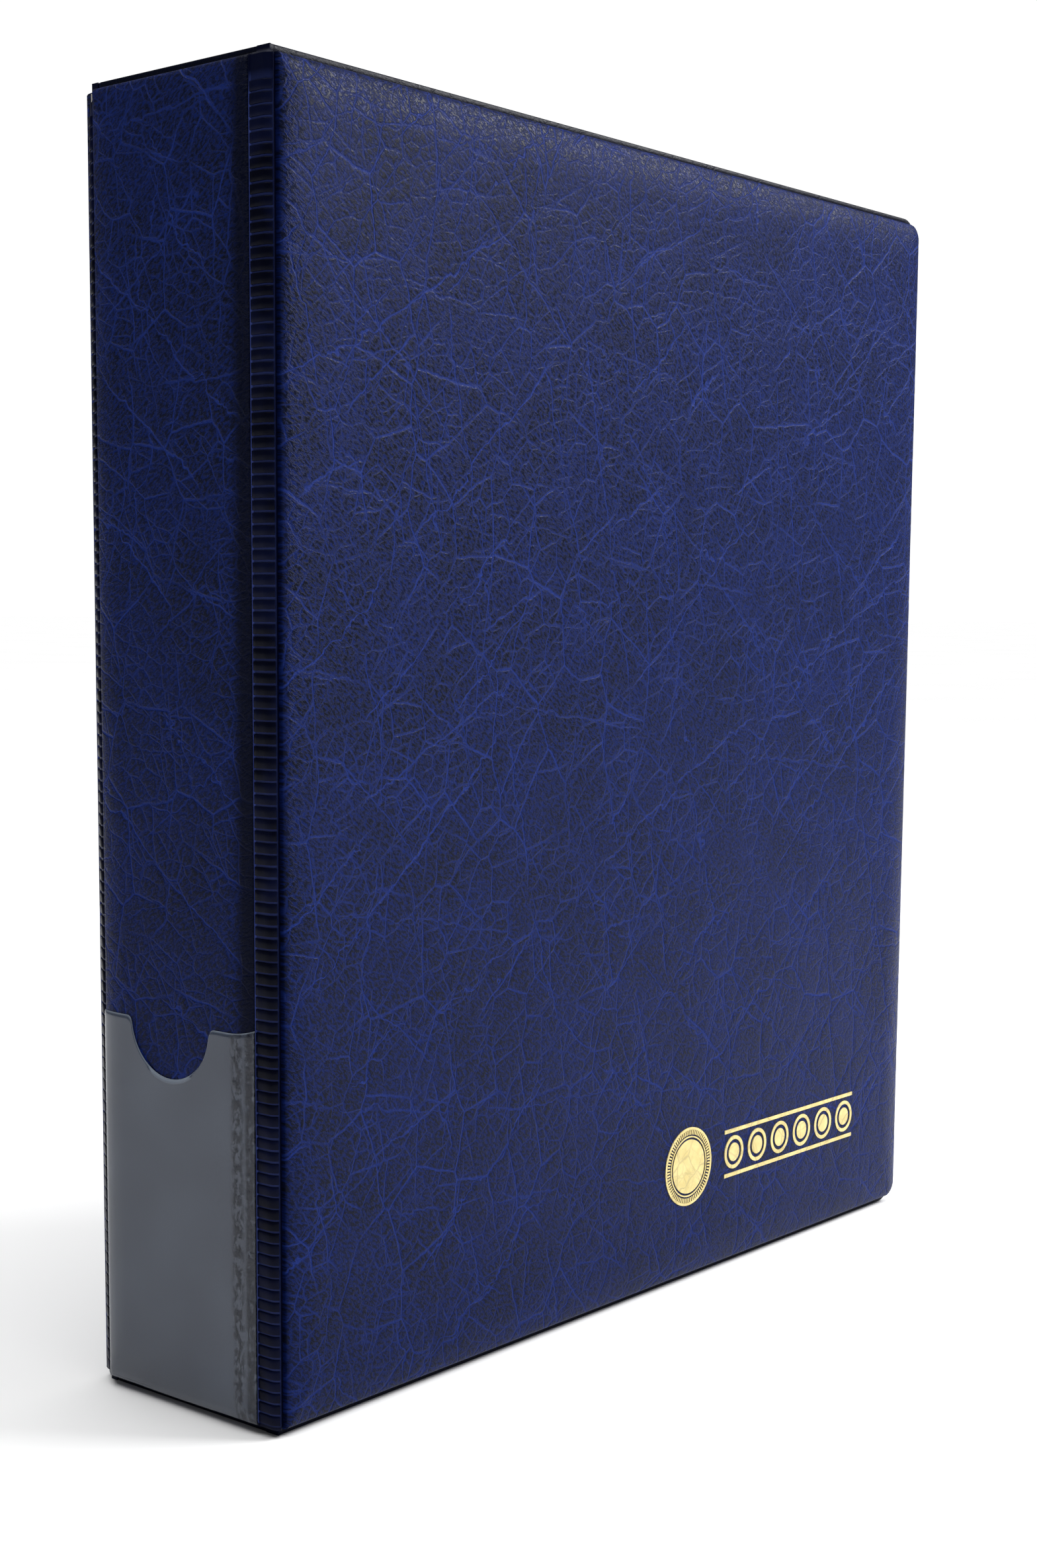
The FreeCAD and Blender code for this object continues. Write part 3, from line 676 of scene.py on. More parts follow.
class HingeLine:
    """A hinge's section as a line that is followed by length, with its outward direction."""

    def __init__(self, points, start):
        self.points = np.array(points)
        lengths = np.linalg.norm(np.diff(self.points, axis=0), axis=1)
        self.done = np.concatenate(([0.0], np.cumsum(lengths))) - start
        slopes = np.gradient(self.points, self.done + start, axis=0)
        sizes = np.linalg.norm(slopes, axis=1)
        self.outward = np.stack((slopes[:, 1], -slopes[:, 0]), axis=1) / sizes[:, None]

    def at(self, along, height):
        place = [np.interp(along, self.done, self.points[:, k]) for k in (0, 1)]
        out = np.array([np.interp(along, self.done, self.outward[:, k]) for k in (0, 1)])
        out /= np.linalg.norm(out)
        return float(place[0] + out[0] * height), float(place[1] + out[1] * height)


HINGE_LINES = {-1: HingeLine(front_line(), 1.05), 1: HingeLine(rear_line(), 1.15)}


def flange_point(side, share, depth):
    """The same section where it runs out into the flat weld at the album's ends."""
    level = FLANGE_LEVEL + depth
    start = 4.70 + LADDER_EXTRA[side]
    if share < 0.5:
        return level, start - (start - level) * share * 2
    return level + (3.46 - level) * (share - 0.5) * 2, level


def hinge_point(side, point, up):
    """A point of a hinge in the frame. Side is -1 at the front and 1 at the rear."""
    inward, behind = point
    face = front_low.y if side < 0 else rear_high.y
    return ((SPINE_FACE + inward) * MM, face - side * behind * MM, up * MM)


def strip_shape(side):
    """The base strip: outer and inner side as two grids joined round their edges."""
    levels = [0.0, 0.6, 1.2, 1.6, 1.85, 2.1]
    levels += list(np.linspace(2.6, 225.8, 60))
    levels += [226.4, 226.9, 227.4, 227.8, 228.2, 228.5, 228.8, 229.1, 229.4, 230.0]
    line = HINGE_LINES[side]
    columns = len(STRIP)
    outer = []
    inner = []
    groove = []
    for up in levels:
        low_share = min(max((1.75 - up) / 0.9, 0.0), 1.0)
        high_share = min(max((up - FLANGE_FROM[side]) / 1.2, 0.0), 1.0)
        share = max(low_share, high_share)
        share = share * share * (3 - 2 * share)
        for number, (along, height) in enumerate(STRIP):
            across = number / (columns - 1)
            shapes = ((outer, height, 0.0), (inner, min(height - 0.40, -0.80), 0.36))
            for points, rise, depth in shapes:
                raised = line.at(widened(side, along), rise)
                flat = flange_point(side, across, depth)
                mixed = [r * (1 - share) + f * share for r, f in zip(raised, flat)]
                points.append(hinge_point(side, mixed, up))
            in_ladder = 0.0 <= along <= 3.7 and LADDER_LOW < up < LADDER_HIGH - 0.6
            # Share of the blue: 0.34 is the grooves' own colour, while the ladder's left edge gets the
            # full blue as a painted highlight
            groove.append((1.0 if along < 0.2 else 0.34) if in_ladder else 0.0)
    return outer + inner, sheet_faces(columns, len(levels)), groove + [0.0] * len(inner)


def sheet_faces(columns, rows):
    """Faces of a thin closed sheet whose outer grid's points come first and inner grid's second."""
    size = columns * rows
    faces = []
    for row in range(rows - 1):
        for column in range(columns - 1):
            a = row * columns + column
            faces.append((a, a + 1, a + columns + 1, a + columns))
            faces.append((size + a, size + a + columns, size + a + columns + 1, size + a + 1))
    border = list(range(columns))
    border += [row * columns + columns - 1 for row in range(1, rows)]
    border += [(rows - 1) * columns + column for column in range(columns - 2, -1, -1)]
    border += [row * columns for row in range(rows - 2, 0, -1)]
    for k, here in enumerate(border):
        after = border[(k + 1) % len(border)]
        faces.append((after, here, size + here, size + after))
    return faces


def pad_shape(side):
    """One raised pad of a ladder, curved round the bend, closed underneath."""
    end = PAD_LENGTH
    across = (0.12, 0.17, 0.30, 0.8, 1.3, 1.8, 2.3, 2.8, end - 0.30, end - 0.16, end - 0.10)
    half = (PAD_PITCH - PAD_GROOVE) / 2
    upward = (-half, -half + 0.06, -half + 0.20, 0.0, half - 0.20, half - 0.06, half)
    columns = len(across)
    rows = len(upward)
    line = HINGE_LINES[side]
    points = []
    for floor_grid in (False, True):
        for row, up in enumerate(upward):
            for column, along in enumerate(across):
                edge = min(row, rows - 1 - row, column, columns - 1 - column)
                height = -0.50 if floor_grid else (-0.50, -0.09, -0.01, 0.0)[min(edge, 3)]
                points.append(hinge_point(side, line.at(widened(side, along), height), up))
    size = columns * rows
    faces = []
    for row in range(rows - 1):
        for column in range(columns - 1):
            a = row * columns + column
            faces.append((a, a + 1, a + columns + 1, a + columns))
            around = (a, a + columns, a + columns + 1, a + 1)
            faces.append(tuple(floor_index(k, size, columns, rows) for k in around))
    return points, faces


def floor_index(number, size, columns, rows):
    """The border of a pad's underside is the border of its top."""
    row, column = divmod(number, columns)
    on_border = row in (0, rows - 1) or column in (0, columns - 1)
    return number if on_border else number + size


PAD_DARK = (0.0006, 0.0010, 0.0050, 1)
PAD_BLUE = (0.0016, 0.0030, 0.0170, 1)
STRIP_DARK = (0.0010, 0.0020, 0.0120, 1)
GROOVE_BLUE = (0.030, 0.046, 0.190, 1)
GROOVE_PALE = (0.050, 0.075, 0.270, 1)


def weld_finish(name, pads):
    """Vinyl pressed smooth by the welding tool: near black pads, with blue grooves between them and a
    painted highlight along the ladder's left edge.
    """
    made, graph, shader = material(name)
    place = object_place(graph)
    speckle = graph.noise(place, 900.0, 3.0)
    patches = graph.noise(place, 120.0, 2.0)
    if pads:
        base = graph.mix(patches.fade(0.35, 0.75), PAD_DARK, PAD_BLUE)
        rough = 0.22 + patches * 0.2
    else:
        groove = graph.add("ShaderNodeAttribute", {"attribute_name": "groove"}, None, output=2)
        blue = graph.mix(patches.fade(0.3, 0.7), GROOVE_BLUE, GROOVE_PALE)
        # Blue where the grooves show, and a painted highlight on the ladder's left edge
        base = graph.mix(groove, STRIP_DARK, blue)
        rough = 0.34 + speckle * 0.16
    values = {"Base Color": base, "Roughness": rough, "Specular IOR Level": 0.05,
              "Normal": bump(graph, speckle, 0.05 * MM)}
    finish_shader(graph, shader, values)
    return made


WELD = weld_finish("navy_weld", pads=False)
WELD_PAD = weld_finish("navy_weld_pads", pads=True)


def ladder_tree(name):
    """Stacks one pad up the hinge, joins the pads to their base strip and gives each its finish."""
    inputs = (("Base strip", "NodeSocketObject"), ("Pads", "NodeSocketInt"), ("Pitch", "NodeSocketFloat"),
              ("Lowest", "NodeSocketFloat"), ("Pad finish", "NodeSocketMaterial"),
              ("Strip finish", "NodeSocketMaterial"))
    graph, given = modifier_tree(name, inputs)
    start = graph.add("ShaderNodeCombineXYZ", None, {"Z": given["Lowest"]})
    step = graph.add("ShaderNodeCombineXYZ", None, {"Z": given["Pitch"]})
    line = graph.add("GeometryNodeMeshLine", {"mode": "OFFSET"},
                     {"Count": given["Pads"], "Start Location": start, "Offset": step})
    uneven = graph.add("FunctionNodeRandomValue", {"data_type": "FLOAT_VECTOR"},
                       {0: (1.0, 1.0, 0.93), 1: (1.0, 1.0, 1.06), "Seed": 11})
    pads = graph.add("GeometryNodeInstanceOnPoints", None,
                     {"Points": line, "Instance": given["Geometry"], "Scale": uneven})
    pads = graph.add("GeometryNodeSetMaterial", None, {"Geometry": pads, "Material": given["Pad finish"]})
    strip = graph.add("GeometryNodeObjectInfo", {"transform_space": "ORIGINAL"},
                      {"Object": given["Base strip"]}, output=4)
    strip = graph.add("GeometryNodeSetMaterial", None,
                      {"Geometry": strip, "Material": given["Strip finish"]})
    joining = graph.tree.nodes.new("GeometryNodeJoinGeometry")
    graph.feed(joining.inputs[0], pads)
    graph.feed(joining.inputs[0], strip)
    real = graph.add("GeometryNodeRealizeInstances", None, {0: Value(graph, joining.outputs[0])})
    ending = graph.tree.nodes.new("NodeGroupOutput")
    graph.feed(ending.inputs[0], real)
    return graph.tree


LADDER_TREE = ladder_tree("ladder_pads")


def ladder(name, side, node):
    """One hinge: its strip and pads, which bend between the spine and a cover."""
    points, faces, groove = strip_shape(side)
    strip = new_object(name + "_strip", points, faces)
    add_attribute(strip.data, "groove", groove)
    outward(strip)
    pad_points, pad_faces = pad_shape(side)
    made = new_object(name, pad_points, pad_faces)
    outward(made)
    drop_loose(made)
    count = int((LADDER_HIGH - LADDER_LOW) / PAD_PITCH)
    values = {"Base strip": strip, "Pads": count, "Pitch": PAD_PITCH * MM,
              "Lowest": (LADDER_LOW + PAD_PITCH / 2) * MM, "Pad finish": WELD_PAD, "Strip finish": WELD}
    run_tree(made, LADDER_TREE, values)
    bpy.data.objects.remove(strip)
    smooth(made, 42)
    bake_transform(made)
    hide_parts(node)


def drop_loose(made):
    """Removes points that no face uses."""
    work = bmesh.new()
    work.from_mesh(made.data)
    loose = [v for v in work.verts if not v.link_faces]
    bmesh.ops.delete(work, geom=loose, context="VERTS")
    work.to_mesh(made.data)
    work.free()


ladder("front_hinge_ladder", -1, "front_hinge_weld")
ladder("rear_hinge_ladder", 1, "rear_hinge_weld")

# ---------------------------------------------------------------------------
# Label pocket on the spine
# ---------------------------------------------------------------------------

FILM_RISE = 0.30
FILM_UNDER = 0.02        # film's inner face above the leatherette
FILM_EDGE = 0.09         # and its outer face along its upper edge
FILM_NEAR_LAP = 0.16     # film over the hinge's weld at the front
FILM_FAR_INSET = 0.30
FILM_FOOT = 0.9
FILM_TOP = 69.5
NOTCH = 10.0
NOTCH_CENTRE = 1.1
NOTCH_CORNER = 1.2
FILM_GREY = (0.035, 0.045, 0.070, 1)
FILM_PALE = (0.051, 0.065, 0.095, 1)
FILM_RAGGED = (0.006, 0.008, 0.018, 1)
# Colour of the painted highlight on the film's upper cut edge
FILM_RIM_HIGHLIGHT = (0.24, 0.28, 0.34, 1)
LADDER_SHOULDER = 2.66   # the film runs level over to the ladder from here


def rise_at(hinge_distance, free_distance):
    """The leather's rise at a place of the spine, from its section."""
    frees = [p[0] for p in SECTION[3:]]
    hinges = [p[1] for p in SECTION[3:]]
    rises = [p[2] for p in SECTION[3:]]
    by_hinge = float(np.interp(hinge_distance, hinges, rises))
    by_free = float(np.interp(free_distance, frees, rises))
    return min(by_hinge, by_free)


def film_top(across):
    """The film's upper edge, with the thumb notch."""
    top = FILM_TOP + 1.2 * max(0.0, (-14 - across) / 6) ** 2
    off = abs(across - NOTCH_CENTRE)
    if off < NOTCH:
        return top - math.sqrt(NOTCH * NOTCH - off * off)
    if off < NOTCH + NOTCH_CORNER:
        drop = NOTCH_CORNER ** 2 - (NOTCH + NOTCH_CORNER - off) ** 2
        return top - NOTCH_CORNER + math.sqrt(max(drop, 0.0))
    return top


def film_finish():
    """Glossy, slightly milky film, with a mottled band along its weld and a painted highlight along its
    upper cut edge and notch.
    """
    made, graph, shader = material("milky_pocket_film")
    place = object_place(graph)
    flat = in_plane(graph, place, "Y")
    mottled = graph.noise(flat, 0.35, 3.0, 0.6)
    clouds = graph.noise(flat, 0.05, 2.0)
    from_hinge = graph.add("ShaderNodeAttribute", {"attribute_name": "from_hinge"}, None, output=2)
    rim = graph.add("ShaderNodeAttribute", {"attribute_name": "rim"}, None, output=2)
    streaks = graph.noise(graph.vector("MULTIPLY", flat, (1.3, 0.55, 1.0)), 1.0, 4.0, 0.7)
    band = (1.0 - (from_hinge - 3.3).size().fade(0.4, 2.0)) * streaks.fade(0.44, 0.54)
    edge = (1.0 - from_hinge.fade(1.2, 2.2)) * streaks.fade(0.38, 0.50)
    ragged = band.larger(edge)
    grey = graph.mix(clouds.fade(0.3, 0.7), FILM_GREY, FILM_PALE)
    base = graph.mix(ragged * 0.9, grey, FILM_RAGGED)
    # Painted highlight: the top 0.3 mm of the film, along its upper edge and notch, is lightened in its
    # colour
    base = graph.mix(rim * 0.8, base, FILM_RIM_HIGHLIGHT)
    values = {"Base Color": base, "Roughness": 0.12 + mottled * 0.12 + ragged * 0.15,
              "Specular IOR Level": 0.35, "Coat Weight": 0.35, "Coat Roughness": 0.08,
              "Alpha": 0.86 - ragged * 0.2,
              "Normal": bump(graph, mottled.fade(0.3, 0.7) * ragged + clouds, 0.12 * MM)}
    finish_shader(graph, shader, values)
    return made


def label_pocket():
    """The spine's clear film, which follows the leatherette under it."""
    left = SPINE.near - FILM_NEAR_LAP
    right = SPINE.far - FILM_FAR_INSET
    angles = np.linspace(math.pi, 0, 33)
    across = list(np.linspace(left, NOTCH_CENTRE - NOTCH - 1.25, 14))
    across += [NOTCH_CENTRE - NOTCH - k for k in (1.0, 0.7, 0.4, 0.15)]
    across += [NOTCH_CENTRE + NOTCH * math.cos(a) for a in angles]
    across += [NOTCH_CENTRE + NOTCH + k for k in (0.15, 0.4, 0.7, 1.0)]
    across += list(np.linspace(NOTCH_CENTRE + NOTCH + 1.25, right, 14))
    shares = [0.0, 0.006, 0.014, 0.024, 0.04] + list(np.linspace(0.06, 0.985, 39)) + [0.995, 1.0]
    outer = []
    inner = []
    weld = []
    rim = []
    for share in shares:
        for here in across:
            top = film_top(here)
            up = FILM_FOOT + (top - FILM_FOOT) * share
            hinge_side = min(here - SPINE.near, SPINE.far - here)
            rise = rise_at(hinge_side, up)
            if here < 0:
                rise = max(rise, min(LADDER_SHOULDER, rise_at(9, up)))
            below_top = top - up
            lift = FILM_EDGE if share == 1.0 else FILM_RISE
            outer.append(SPINE.point(here, up, rise + lift))
            inner.append(SPINE.point(here, up, rise + FILM_UNDER))
            weld.append(here - SPINE.near)
            # Marks the film's upper edge for its painted highlight
            rim.append(1.0 if below_top < 0.30 else 0.0)
    faces = sheet_faces(len(across), len(shares))
    made = new_object("label_pocket_film", outer + inner, faces, [film_finish()])
    add_attribute(made.data, "from_hinge", weld + weld)
    add_attribute(made.data, "rim", rim + rim)
    outward(made)
    smooth(made, 40)
    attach(made, "spine")
    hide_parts("spine_label_pocket")


label_pocket()

# ---------------------------------------------------------------------------
# Foil stamp on the front cover
# ---------------------------------------------------------------------------

GOLD_DEEP = (0.62, 0.50, 0.19, 1)
GOLD_PALE = (0.74, 0.61, 0.26, 1)
WORN_THROUGH = (0.16, 0.13, 0.09, 1)
FOIL_TOP = PANEL_RISE + 0.06
FOIL_LOW = PANEL_RISE - 0.30
FOIL_LINE = 0.8
COIN_RADIUS = 8.3
COIN_GAP = 5.0           # large coin to the first small one
SMALL_RADIUS = 3.6
SMALL_PITCH = 9.0
SMALL_COINS = 6
REEDS = 72


def foil_finish():
    """Pale gold foil that follows the leather's creases, worn through in specks."""
    made, graph, shader = material("pale_gold_foil")
    place = object_place(graph)
    flat = in_plane(graph, place, "X")
    crease = creases(graph, flat, 1.0)
    pebble = graph.noise(flat, 1.6, 3.0, 0.6)
    tone = graph.noise(flat, 0.3, 2.0).fade(0.3, 0.7)
    gold = graph.mix(tone, GOLD_DEEP, GOLD_PALE)
    specks = graph.noise(flat, 3.2, 2.0, 0.7).fade(0.66, 0.72)
    worn = specks.larger(crease * 0.35)
    height = pebble * 0.5 - crease * 1.2
    values = {"Base Color": graph.mix(worn, gold, WORN_THROUGH), "Roughness": 0.38 + pebble * 0.15,
              "Metallic": 0.30 - worn * 0.25, "Normal": bump(graph, height, 0.05 * MM)}
    finish_shader(graph, shader, values)
    return made


def band(across, up, inner, outer, sides, start=0.0, sweep=2 * math.pi):
    """A flat ring, disc or slice of foil, closed: its points in the cover's plane and its faces."""
    whole = sweep > 6.28
    count = sides if whole else sides + 1
    angles = [start + sweep * k / sides for k in range(count)]
    points = []
    for radius, rise in ((inner, FOIL_LOW), (outer, FOIL_LOW), (outer, FOIL_TOP), (inner, FOIL_TOP)):
        for angle in angles:
            place = (across + radius * math.cos(angle), up + radius * math.sin(angle))
            points.append(FRONT.point(*place, rise))
    faces = []
    steps = count if whole else sides
    for loop in range(4):
        for k in range(steps):
            a = loop * count + k
            b = loop * count + (k + 1) % count
            after = ((loop + 1) % 4) * count
            faces.append((a, b, after + (k + 1) % count, after + k))
    if not whole:
        faces.append(tuple(loop * count for loop in range(4)))
        faces.append(tuple(loop * count + count - 1 for loop in (3, 2, 1, 0)))
    return points, faces


def disc(across, up, radius, sides):
    """A flat disc of foil, closed."""
    angles = [2 * math.pi * k / sides for k in range(sides)]
    points = [FRONT.point(across + radius * math.cos(a), up + radius * math.sin(a), rise)
              for rise in (FOIL_LOW, FOIL_TOP) for a in angles]
    faces = ring_faces(0, sides, sides)
    faces += [tuple(range(sides - 1, -1, -1)), tuple(range(sides, 2 * sides))]
    return points, faces


def bar(left, right, low_edge, high_edge):
    """A straight rule of foil, closed."""
    corners = ((left, low_edge), (right, low_edge), (right, high_edge), (left, high_edge))
    points = [FRONT.point(x, z, rise) for rise in (FOIL_LOW, FOIL_TOP) for x, z in corners]
    return points, ring_faces(0, 4, 4) + [(3, 2, 1, 0), (4, 5, 6, 7)]


def together(shapes):
    """Several shapes as one list of points and one of faces."""
    points = []
    faces = []
    for more_points, more_faces in shapes:
        start = len(points)
        points += more_points
        faces += [tuple(k + start for k in face) for face in more_faces]
    return points, faces


def row_tree(name):
    """Repeats the object's own shape along a line and adds a second shape once."""
    inputs = (("Count", "NodeSocketInt"), ("Step", "NodeSocketVector"),
              ("Single shape", "NodeSocketObject"), ("Finish", "NodeSocketMaterial"))
    graph, given = modifier_tree(name, inputs)
    line = graph.add("GeometryNodeMeshLine", {"mode": "OFFSET"},
                     {"Count": given["Count"], "Offset": given["Step"]})
    row = graph.add("GeometryNodeInstanceOnPoints", None, {"Points": line, "Instance": given["Geometry"]})
    single = graph.add("GeometryNodeObjectInfo", {"transform_space": "ORIGINAL"},
                       {"Object": given["Single shape"]}, output=4)
    joining = graph.tree.nodes.new("GeometryNodeJoinGeometry")
    graph.feed(joining.inputs[0], row)
    graph.feed(joining.inputs[0], single)
    close_tree(graph, Value(graph, joining.outputs[0]), given["Finish"])
    return graph.tree


def foil_stamp():
    """One large reeded coin, and a row of small ones between two rules."""
    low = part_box("front_foil_ornament")[0]
    coin_x = low.x / MM + COIN_RADIUS
    coin_z = low.z / MM + COIN_RADIUS
    shapes = [band(coin_x, coin_z, COIN_RADIUS - 0.55, COIN_RADIUS, 96), disc(coin_x, coin_z, 5.7, 72)]
    slot = 2 * math.pi / REEDS
    for reed in range(REEDS):
        shapes.append(band(coin_x, coin_z, 6.75, COIN_RADIUS - 0.50, 1, slot * reed, slot * 0.5))
    shapes.append(band(coin_x, coin_z, 6.15, 6.45, 80))
    first = coin_x + COIN_RADIUS + COIN_GAP + SMALL_RADIUS
    last = first + SMALL_PITCH * (SMALL_COINS - 1)
    for edge in (coin_z - SMALL_RADIUS - 2 * FOIL_LINE, coin_z + SMALL_RADIUS + FOIL_LINE):
        shapes.append(bar(first - SMALL_RADIUS, last + SMALL_RADIUS, edge, edge + FOIL_LINE))
    single = new_object("coin_and_rules", *together(shapes))
    outward(single)
    small = [band(first, coin_z, SMALL_RADIUS - FOIL_LINE, SMALL_RADIUS, 48),
             disc(first, coin_z, SMALL_RADIUS - 2 * FOIL_LINE, 32)]
    made = new_object("front_foil_stamp", *together(small))
    outward(made)
    values = {"Count": SMALL_COINS, "Step": (SMALL_PITCH * MM, 0.0, 0.0), "Single shape": single,
              "Finish": foil_finish()}
    run_tree(made, row_tree("foil_row"), values)
    bpy.data.objects.remove(single)
    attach(made, "front_cover")
    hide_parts("front_foil_ornament")


foil_stamp()

# ---------------------------------------------------------------------------
# Coin sheets: two films welded into pockets
# ---------------------------------------------------------------------------

POCKET_COLUMNS = 4
POCKET_ROWS = 5
SEAM = 1.3               # half the weld between two pockets
SEAM_THICK = 0.16        # half the sheet's thickness at a weld
PUFF = 0.26


def film_sheet_finish():
    """Clear film: see-through over a pocket, whiter along the welds and the pockets' lips."""
    made, graph, shader = material("clear_coin_film")
    place = object_place(graph)
    flat = in_plane(graph, place, "X")
    seam = graph.add("ShaderNodeAttribute", {"attribute_name": "seam"}, None, output=2)
    lip = graph.add("ShaderNodeAttribute", {"attribute_name": "lip"}, None, output=2)
    side, up, _ = parts_of(graph, flat)
    ribs = side.math("SINE", (up + side) * 4.2) * 0.5 + 0.5
    waves = graph.noise(flat, 0.07, 2.0)
    fine = graph.noise(flat, 0.9, 2.0)
    values = {"Base Color": graph.mix(seam, (0.80, 0.86, 0.90, 1), (0.88, 0.91, 0.93, 1)),
              "Roughness": 0.08 + seam * 0.25 + fine * 0.06,
              "Alpha": (0.13 + waves * 0.06 + seam * (0.22 + ribs * 0.16) + lip * 0.35).smaller(1.0),
              "Normal": bump(graph, waves * 1.5 + ribs * seam * 0.3, 0.3 * MM)}
    finish_shader(graph, shader, values)
    return made


def seam_stops(length, count, lips):
    """Places of the grid's lines along one side: close together at the welds and lips."""
    pitch = length / count
    inside = [0.0, 0.7, SEAM, SEAM + 0.5, SEAM + 2.0, 7.0, 12.0, pitch / 2]
    inside += [pitch - k for k in (12.0, 7.0, SEAM + 2.0, SEAM + 0.5, SEAM, 0.7)]
    if lips:
        inside += [pitch - k for k in (4.9, 4.5, 4.1, 3.7)]
    stops = sorted(set(inside))
    return [cell * pitch + stop for cell in range(count) for stop in stops] + [length]


def coin_film(number):
    """One sheet: thin at its welds, puffed over its pockets, with a lip below each pocket's top."""
    low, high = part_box(f"coin_sheet_{number}_pockets")
    width = (high.x - low.x) / MM
    height = (high.z - low.z) / MM
    middle = (low.y + high.y) / 2
    across = seam_stops(width, POCKET_COLUMNS, lips=False)
    upward = seam_stops(height, POCKET_ROWS, lips=True)
    pitches = (width / POCKET_COLUMNS, height / POCKET_ROWS)
    front = []
    back = []
    seam = []
    lip = []
    for up in upward:
        for side in across:
            places = ((side % pitches[0], pitches[0]), (up % pitches[1], pitches[1]))
            nearest = min(min(value, pitch - value) for value, pitch in places)
            inside = max(nearest - SEAM, 0.0)
            thick = SEAM_THICK + PUFF * (1 - math.exp(-inside / 4.5))
            seam.append(1.0 if nearest <= SEAM + 0.01 else 0.0)
            below_top = pitches[1] - up % pitches[1]
            lip.append(1.0 if 4.0 < below_top < 4.6 and inside > 0 else 0.0)
            front.append((low.x + side * MM, middle - thick * MM, low.z + up * MM))
            back.append((low.x + side * MM, middle + thick * MM, low.z + up * MM))
    faces = sheet_faces(len(across), len(upward))
    made = new_object(f"coin_sheet_{number}_film", front + back, faces, [COIN_FILM])
    add_attribute(made.data, "seam", seam + seam)
    add_attribute(made.data, "lip", lip + lip)
    outward(made)
    smooth(made, 40)
    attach(made, f"coin_sheet_{number}")
    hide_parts(f"coin_sheet_{number}_pockets")


COIN_FILM = film_sheet_finish()
for sheet_number in range(1, 9):
    coin_film(sheet_number)

# ---------------------------------------------------------------------------
# Finishes of the pieces kept from the frame
# ---------------------------------------------------------------------------


def plain(name, low, high, rough, metal=0.0, grain=300.0, relief=0.05, stretch=(1.0, 1.0, 1.0)):
    """A finish with a slight cloud in its colour and a fine grain."""
    made, graph, shader = material(name)
    place = graph.vector("MULTIPLY", object_place(graph), stretch)
    fine = graph.noise(place, grain, 3.0, 0.6)
    clouds = graph.noise(place, grain / 22, 2.0)
    share = clouds.fade(0.3, 0.7) * 0.7 + fine.fade(0.3, 0.7) * 0.3
    values = {"Base Color": graph.mix(share, low, high), "Roughness": rough + (fine - 0.5) * 0.1,
              "Metallic": metal, "Normal": bump(graph, fine, relief * MM)}
    finish_shader(graph, shader, values)
    return made


FINISHES = {
    "liner_sheet": plain("navy_liner", (0.010, 0.014, 0.050, 1), (0.016, 0.022, 0.075, 1),
                         rough=0.42, grain=700),
    "greyboard": plain("grey_board", (0.30, 0.28, 0.25, 1), (0.42, 0.40, 0.36, 1),
                       rough=0.92, grain=900, relief=0.1),
    "binding_vinyl": plain("white_binding", (0.68, 0.70, 0.72, 1), (0.78, 0.79, 0.80, 1),
                           rough=0.38, grain=500),
    "ring_wire": plain("nickel_wire", (0.60, 0.60, 0.60, 1), (0.74, 0.74, 0.75, 1),
                       rough=0.16, metal=1.0, grain=500, relief=0.01),
    "plate_steel": plain("zinc_plate", (0.44, 0.45, 0.46, 1), (0.60, 0.60, 0.60, 1),
                         rough=0.34, metal=1.0, grain=400, relief=0.02),
    "rail_steel": plain("nickel_rail", (0.58, 0.58, 0.59, 1), (0.72, 0.72, 0.73, 1),
                        rough=0.18, metal=1.0, grain=260, relief=0.01, stretch=(1.0, 1.0, 0.06)),
    "fastener_steel": plain("nickel_rivet", (0.55, 0.55, 0.56, 1), (0.68, 0.68, 0.69, 1),
                            rough=0.24, metal=1.0, grain=500, relief=0.01),
}


def node_slot(name):
    """The material slot of a node that is kept, or None for the others."""
    ends = (("inner_liner", "liner_sheet"), ("_board", "greyboard"), ("_binding", "binding_vinyl"),
            ("hinge_plate", "plate_steel"), ("ring_rail", "rail_steel"), ("_lever", "rail_steel"),
            ("_lever_pin", "fastener_steel"), ("rivet", "fastener_steel"))
    if "half_ring" in name:
        return "ring_wire"
    for end, slot in ends:
        if name.endswith(end):
            return slot
    return None


for node_name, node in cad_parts.items():
    slot = node_slot(node_name)
    if slot is None:
        continue
    if not node.material_slots:
        node.data.materials.append(FINISHES[slot])
    for place in node.material_slots:
        place.material = FINISHES[slot]

# ---------------------------------------------------------------------------
# Camera, lights and floor
# ---------------------------------------------------------------------------

camera_data = bpy.data.cameras.new("view")
camera = bpy.data.objects.new("view", camera_data)
bpy.context.scene.collection.objects.link(camera)
CAMERA_PLACE = (-0.3561, -0.2824, 0.1402)
CAMERA_LENS = 50.51
CAMERA_SHIFT = (0.0235, 0.0559)
HEADING = 49.73
PITCH = -6.72
ROLL = 0.28

camera_data.sensor_width = 36
camera_data.lens = CAMERA_LENS
camera_data.shift_x, camera_data.shift_y = CAMERA_SHIFT
camera_data.clip_start = 0.01
camera.location = CAMERA_PLACE
heading = math.radians(HEADING)
pitch = math.radians(PITCH)
roll = math.radians(ROLL)
camera.rotation_euler = (math.pi / 2 + pitch, 0, -heading)
camera.rotation_euler = (camera.rotation_euler.to_matrix() @ Matrix.Rotation(roll, 3, "Z")).to_euler()
bpy.context.scene.camera = camera

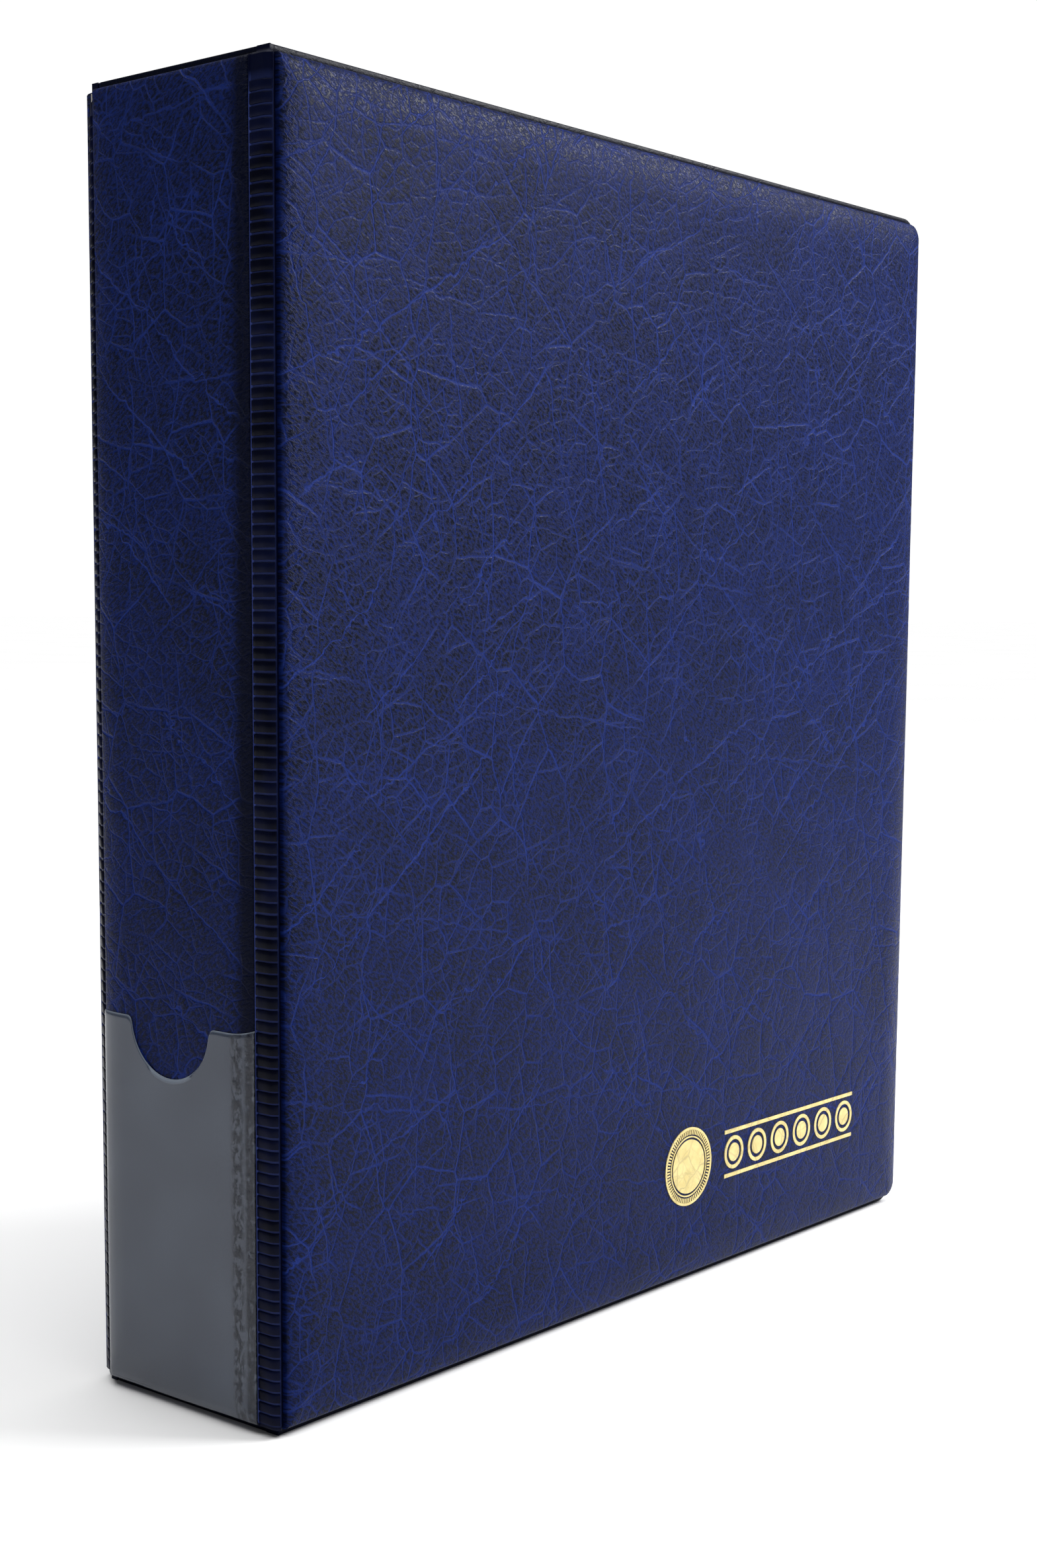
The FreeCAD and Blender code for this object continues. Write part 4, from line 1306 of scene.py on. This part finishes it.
bpy.context.scene.view_settings.view_transform = "Standard"


def studio_world():
    """White all round to look at, and a dimmer surround for the light it gives."""
    world = bpy.data.worlds.new("studio")
    bpy.context.scene.world = world
    world.use_nodes = True
    graph = Graph(world.node_tree)
    seen = graph.add("ShaderNodeLightPath")
    strength = seen * (SEEN_WHITE - SURROUND) + SURROUND
    background = world.node_tree.nodes["Background"]
    background.inputs["Color"].default_value = (1, 1, 1, 1)
    graph.feed(background.inputs["Strength"], strength)


SEEN_WHITE = 1.02
SURROUND = 0.14
studio_world()


def aimed(name, light, place, target):
    """Puts a light in the scene and points it at its target."""
    made = bpy.data.objects.new(name, light)
    bpy.context.scene.collection.objects.link(made)
    made.location = place
    made.rotation_euler = (Vector(target) - Vector(place)).to_track_quat("-Z", "Y").to_euler()
    return made


def softbox(name, place, target, width, height, power):
    """A rectangular area light."""
    light = bpy.data.lights.new(name, "AREA")
    light.shape = "RECTANGLE"
    light.size = width
    light.size_y = height
    light.energy = power
    return aimed(name, light, place, target)


def skylight(strength, spread):
    """Light from straight above, which whitens the floor."""
    light = bpy.data.lights.new("skylight", "SUN")
    light.energy = strength
    light.angle = math.radians(spread)
    return aimed("skylight", light, (0, 0, 2), (0, 0, 0))


skylight(3.1, 70)
softbox("front_right", (0.48, -0.46, 0.58), (0.03, 0, 0.23), 0.5, 0.30, 8.5)

floor_finish, floor_graph, floor_shader = material("floor_paper")
floor_place = object_place(floor_graph)
floor_tone = floor_graph.noise(floor_place, 3.0).fade(0.2, 0.8)
floor_base = floor_graph.mix(floor_tone, (0.93, 0.93, 0.93, 1), (0.96, 0.96, 0.96, 1))
finish_shader(floor_graph, floor_shader, {"Base Color": floor_base, "Roughness": 0.8})
FLOOR_REACH = 40.0
floor = new_object("floor", [(-FLOOR_REACH, -FLOOR_REACH, 0), (FLOOR_REACH, -FLOOR_REACH, 0),
                             (FLOOR_REACH, FLOOR_REACH, 0), (-FLOOR_REACH, FLOOR_REACH, 0)],
                   [(0, 1, 2, 3)], [floor_finish])
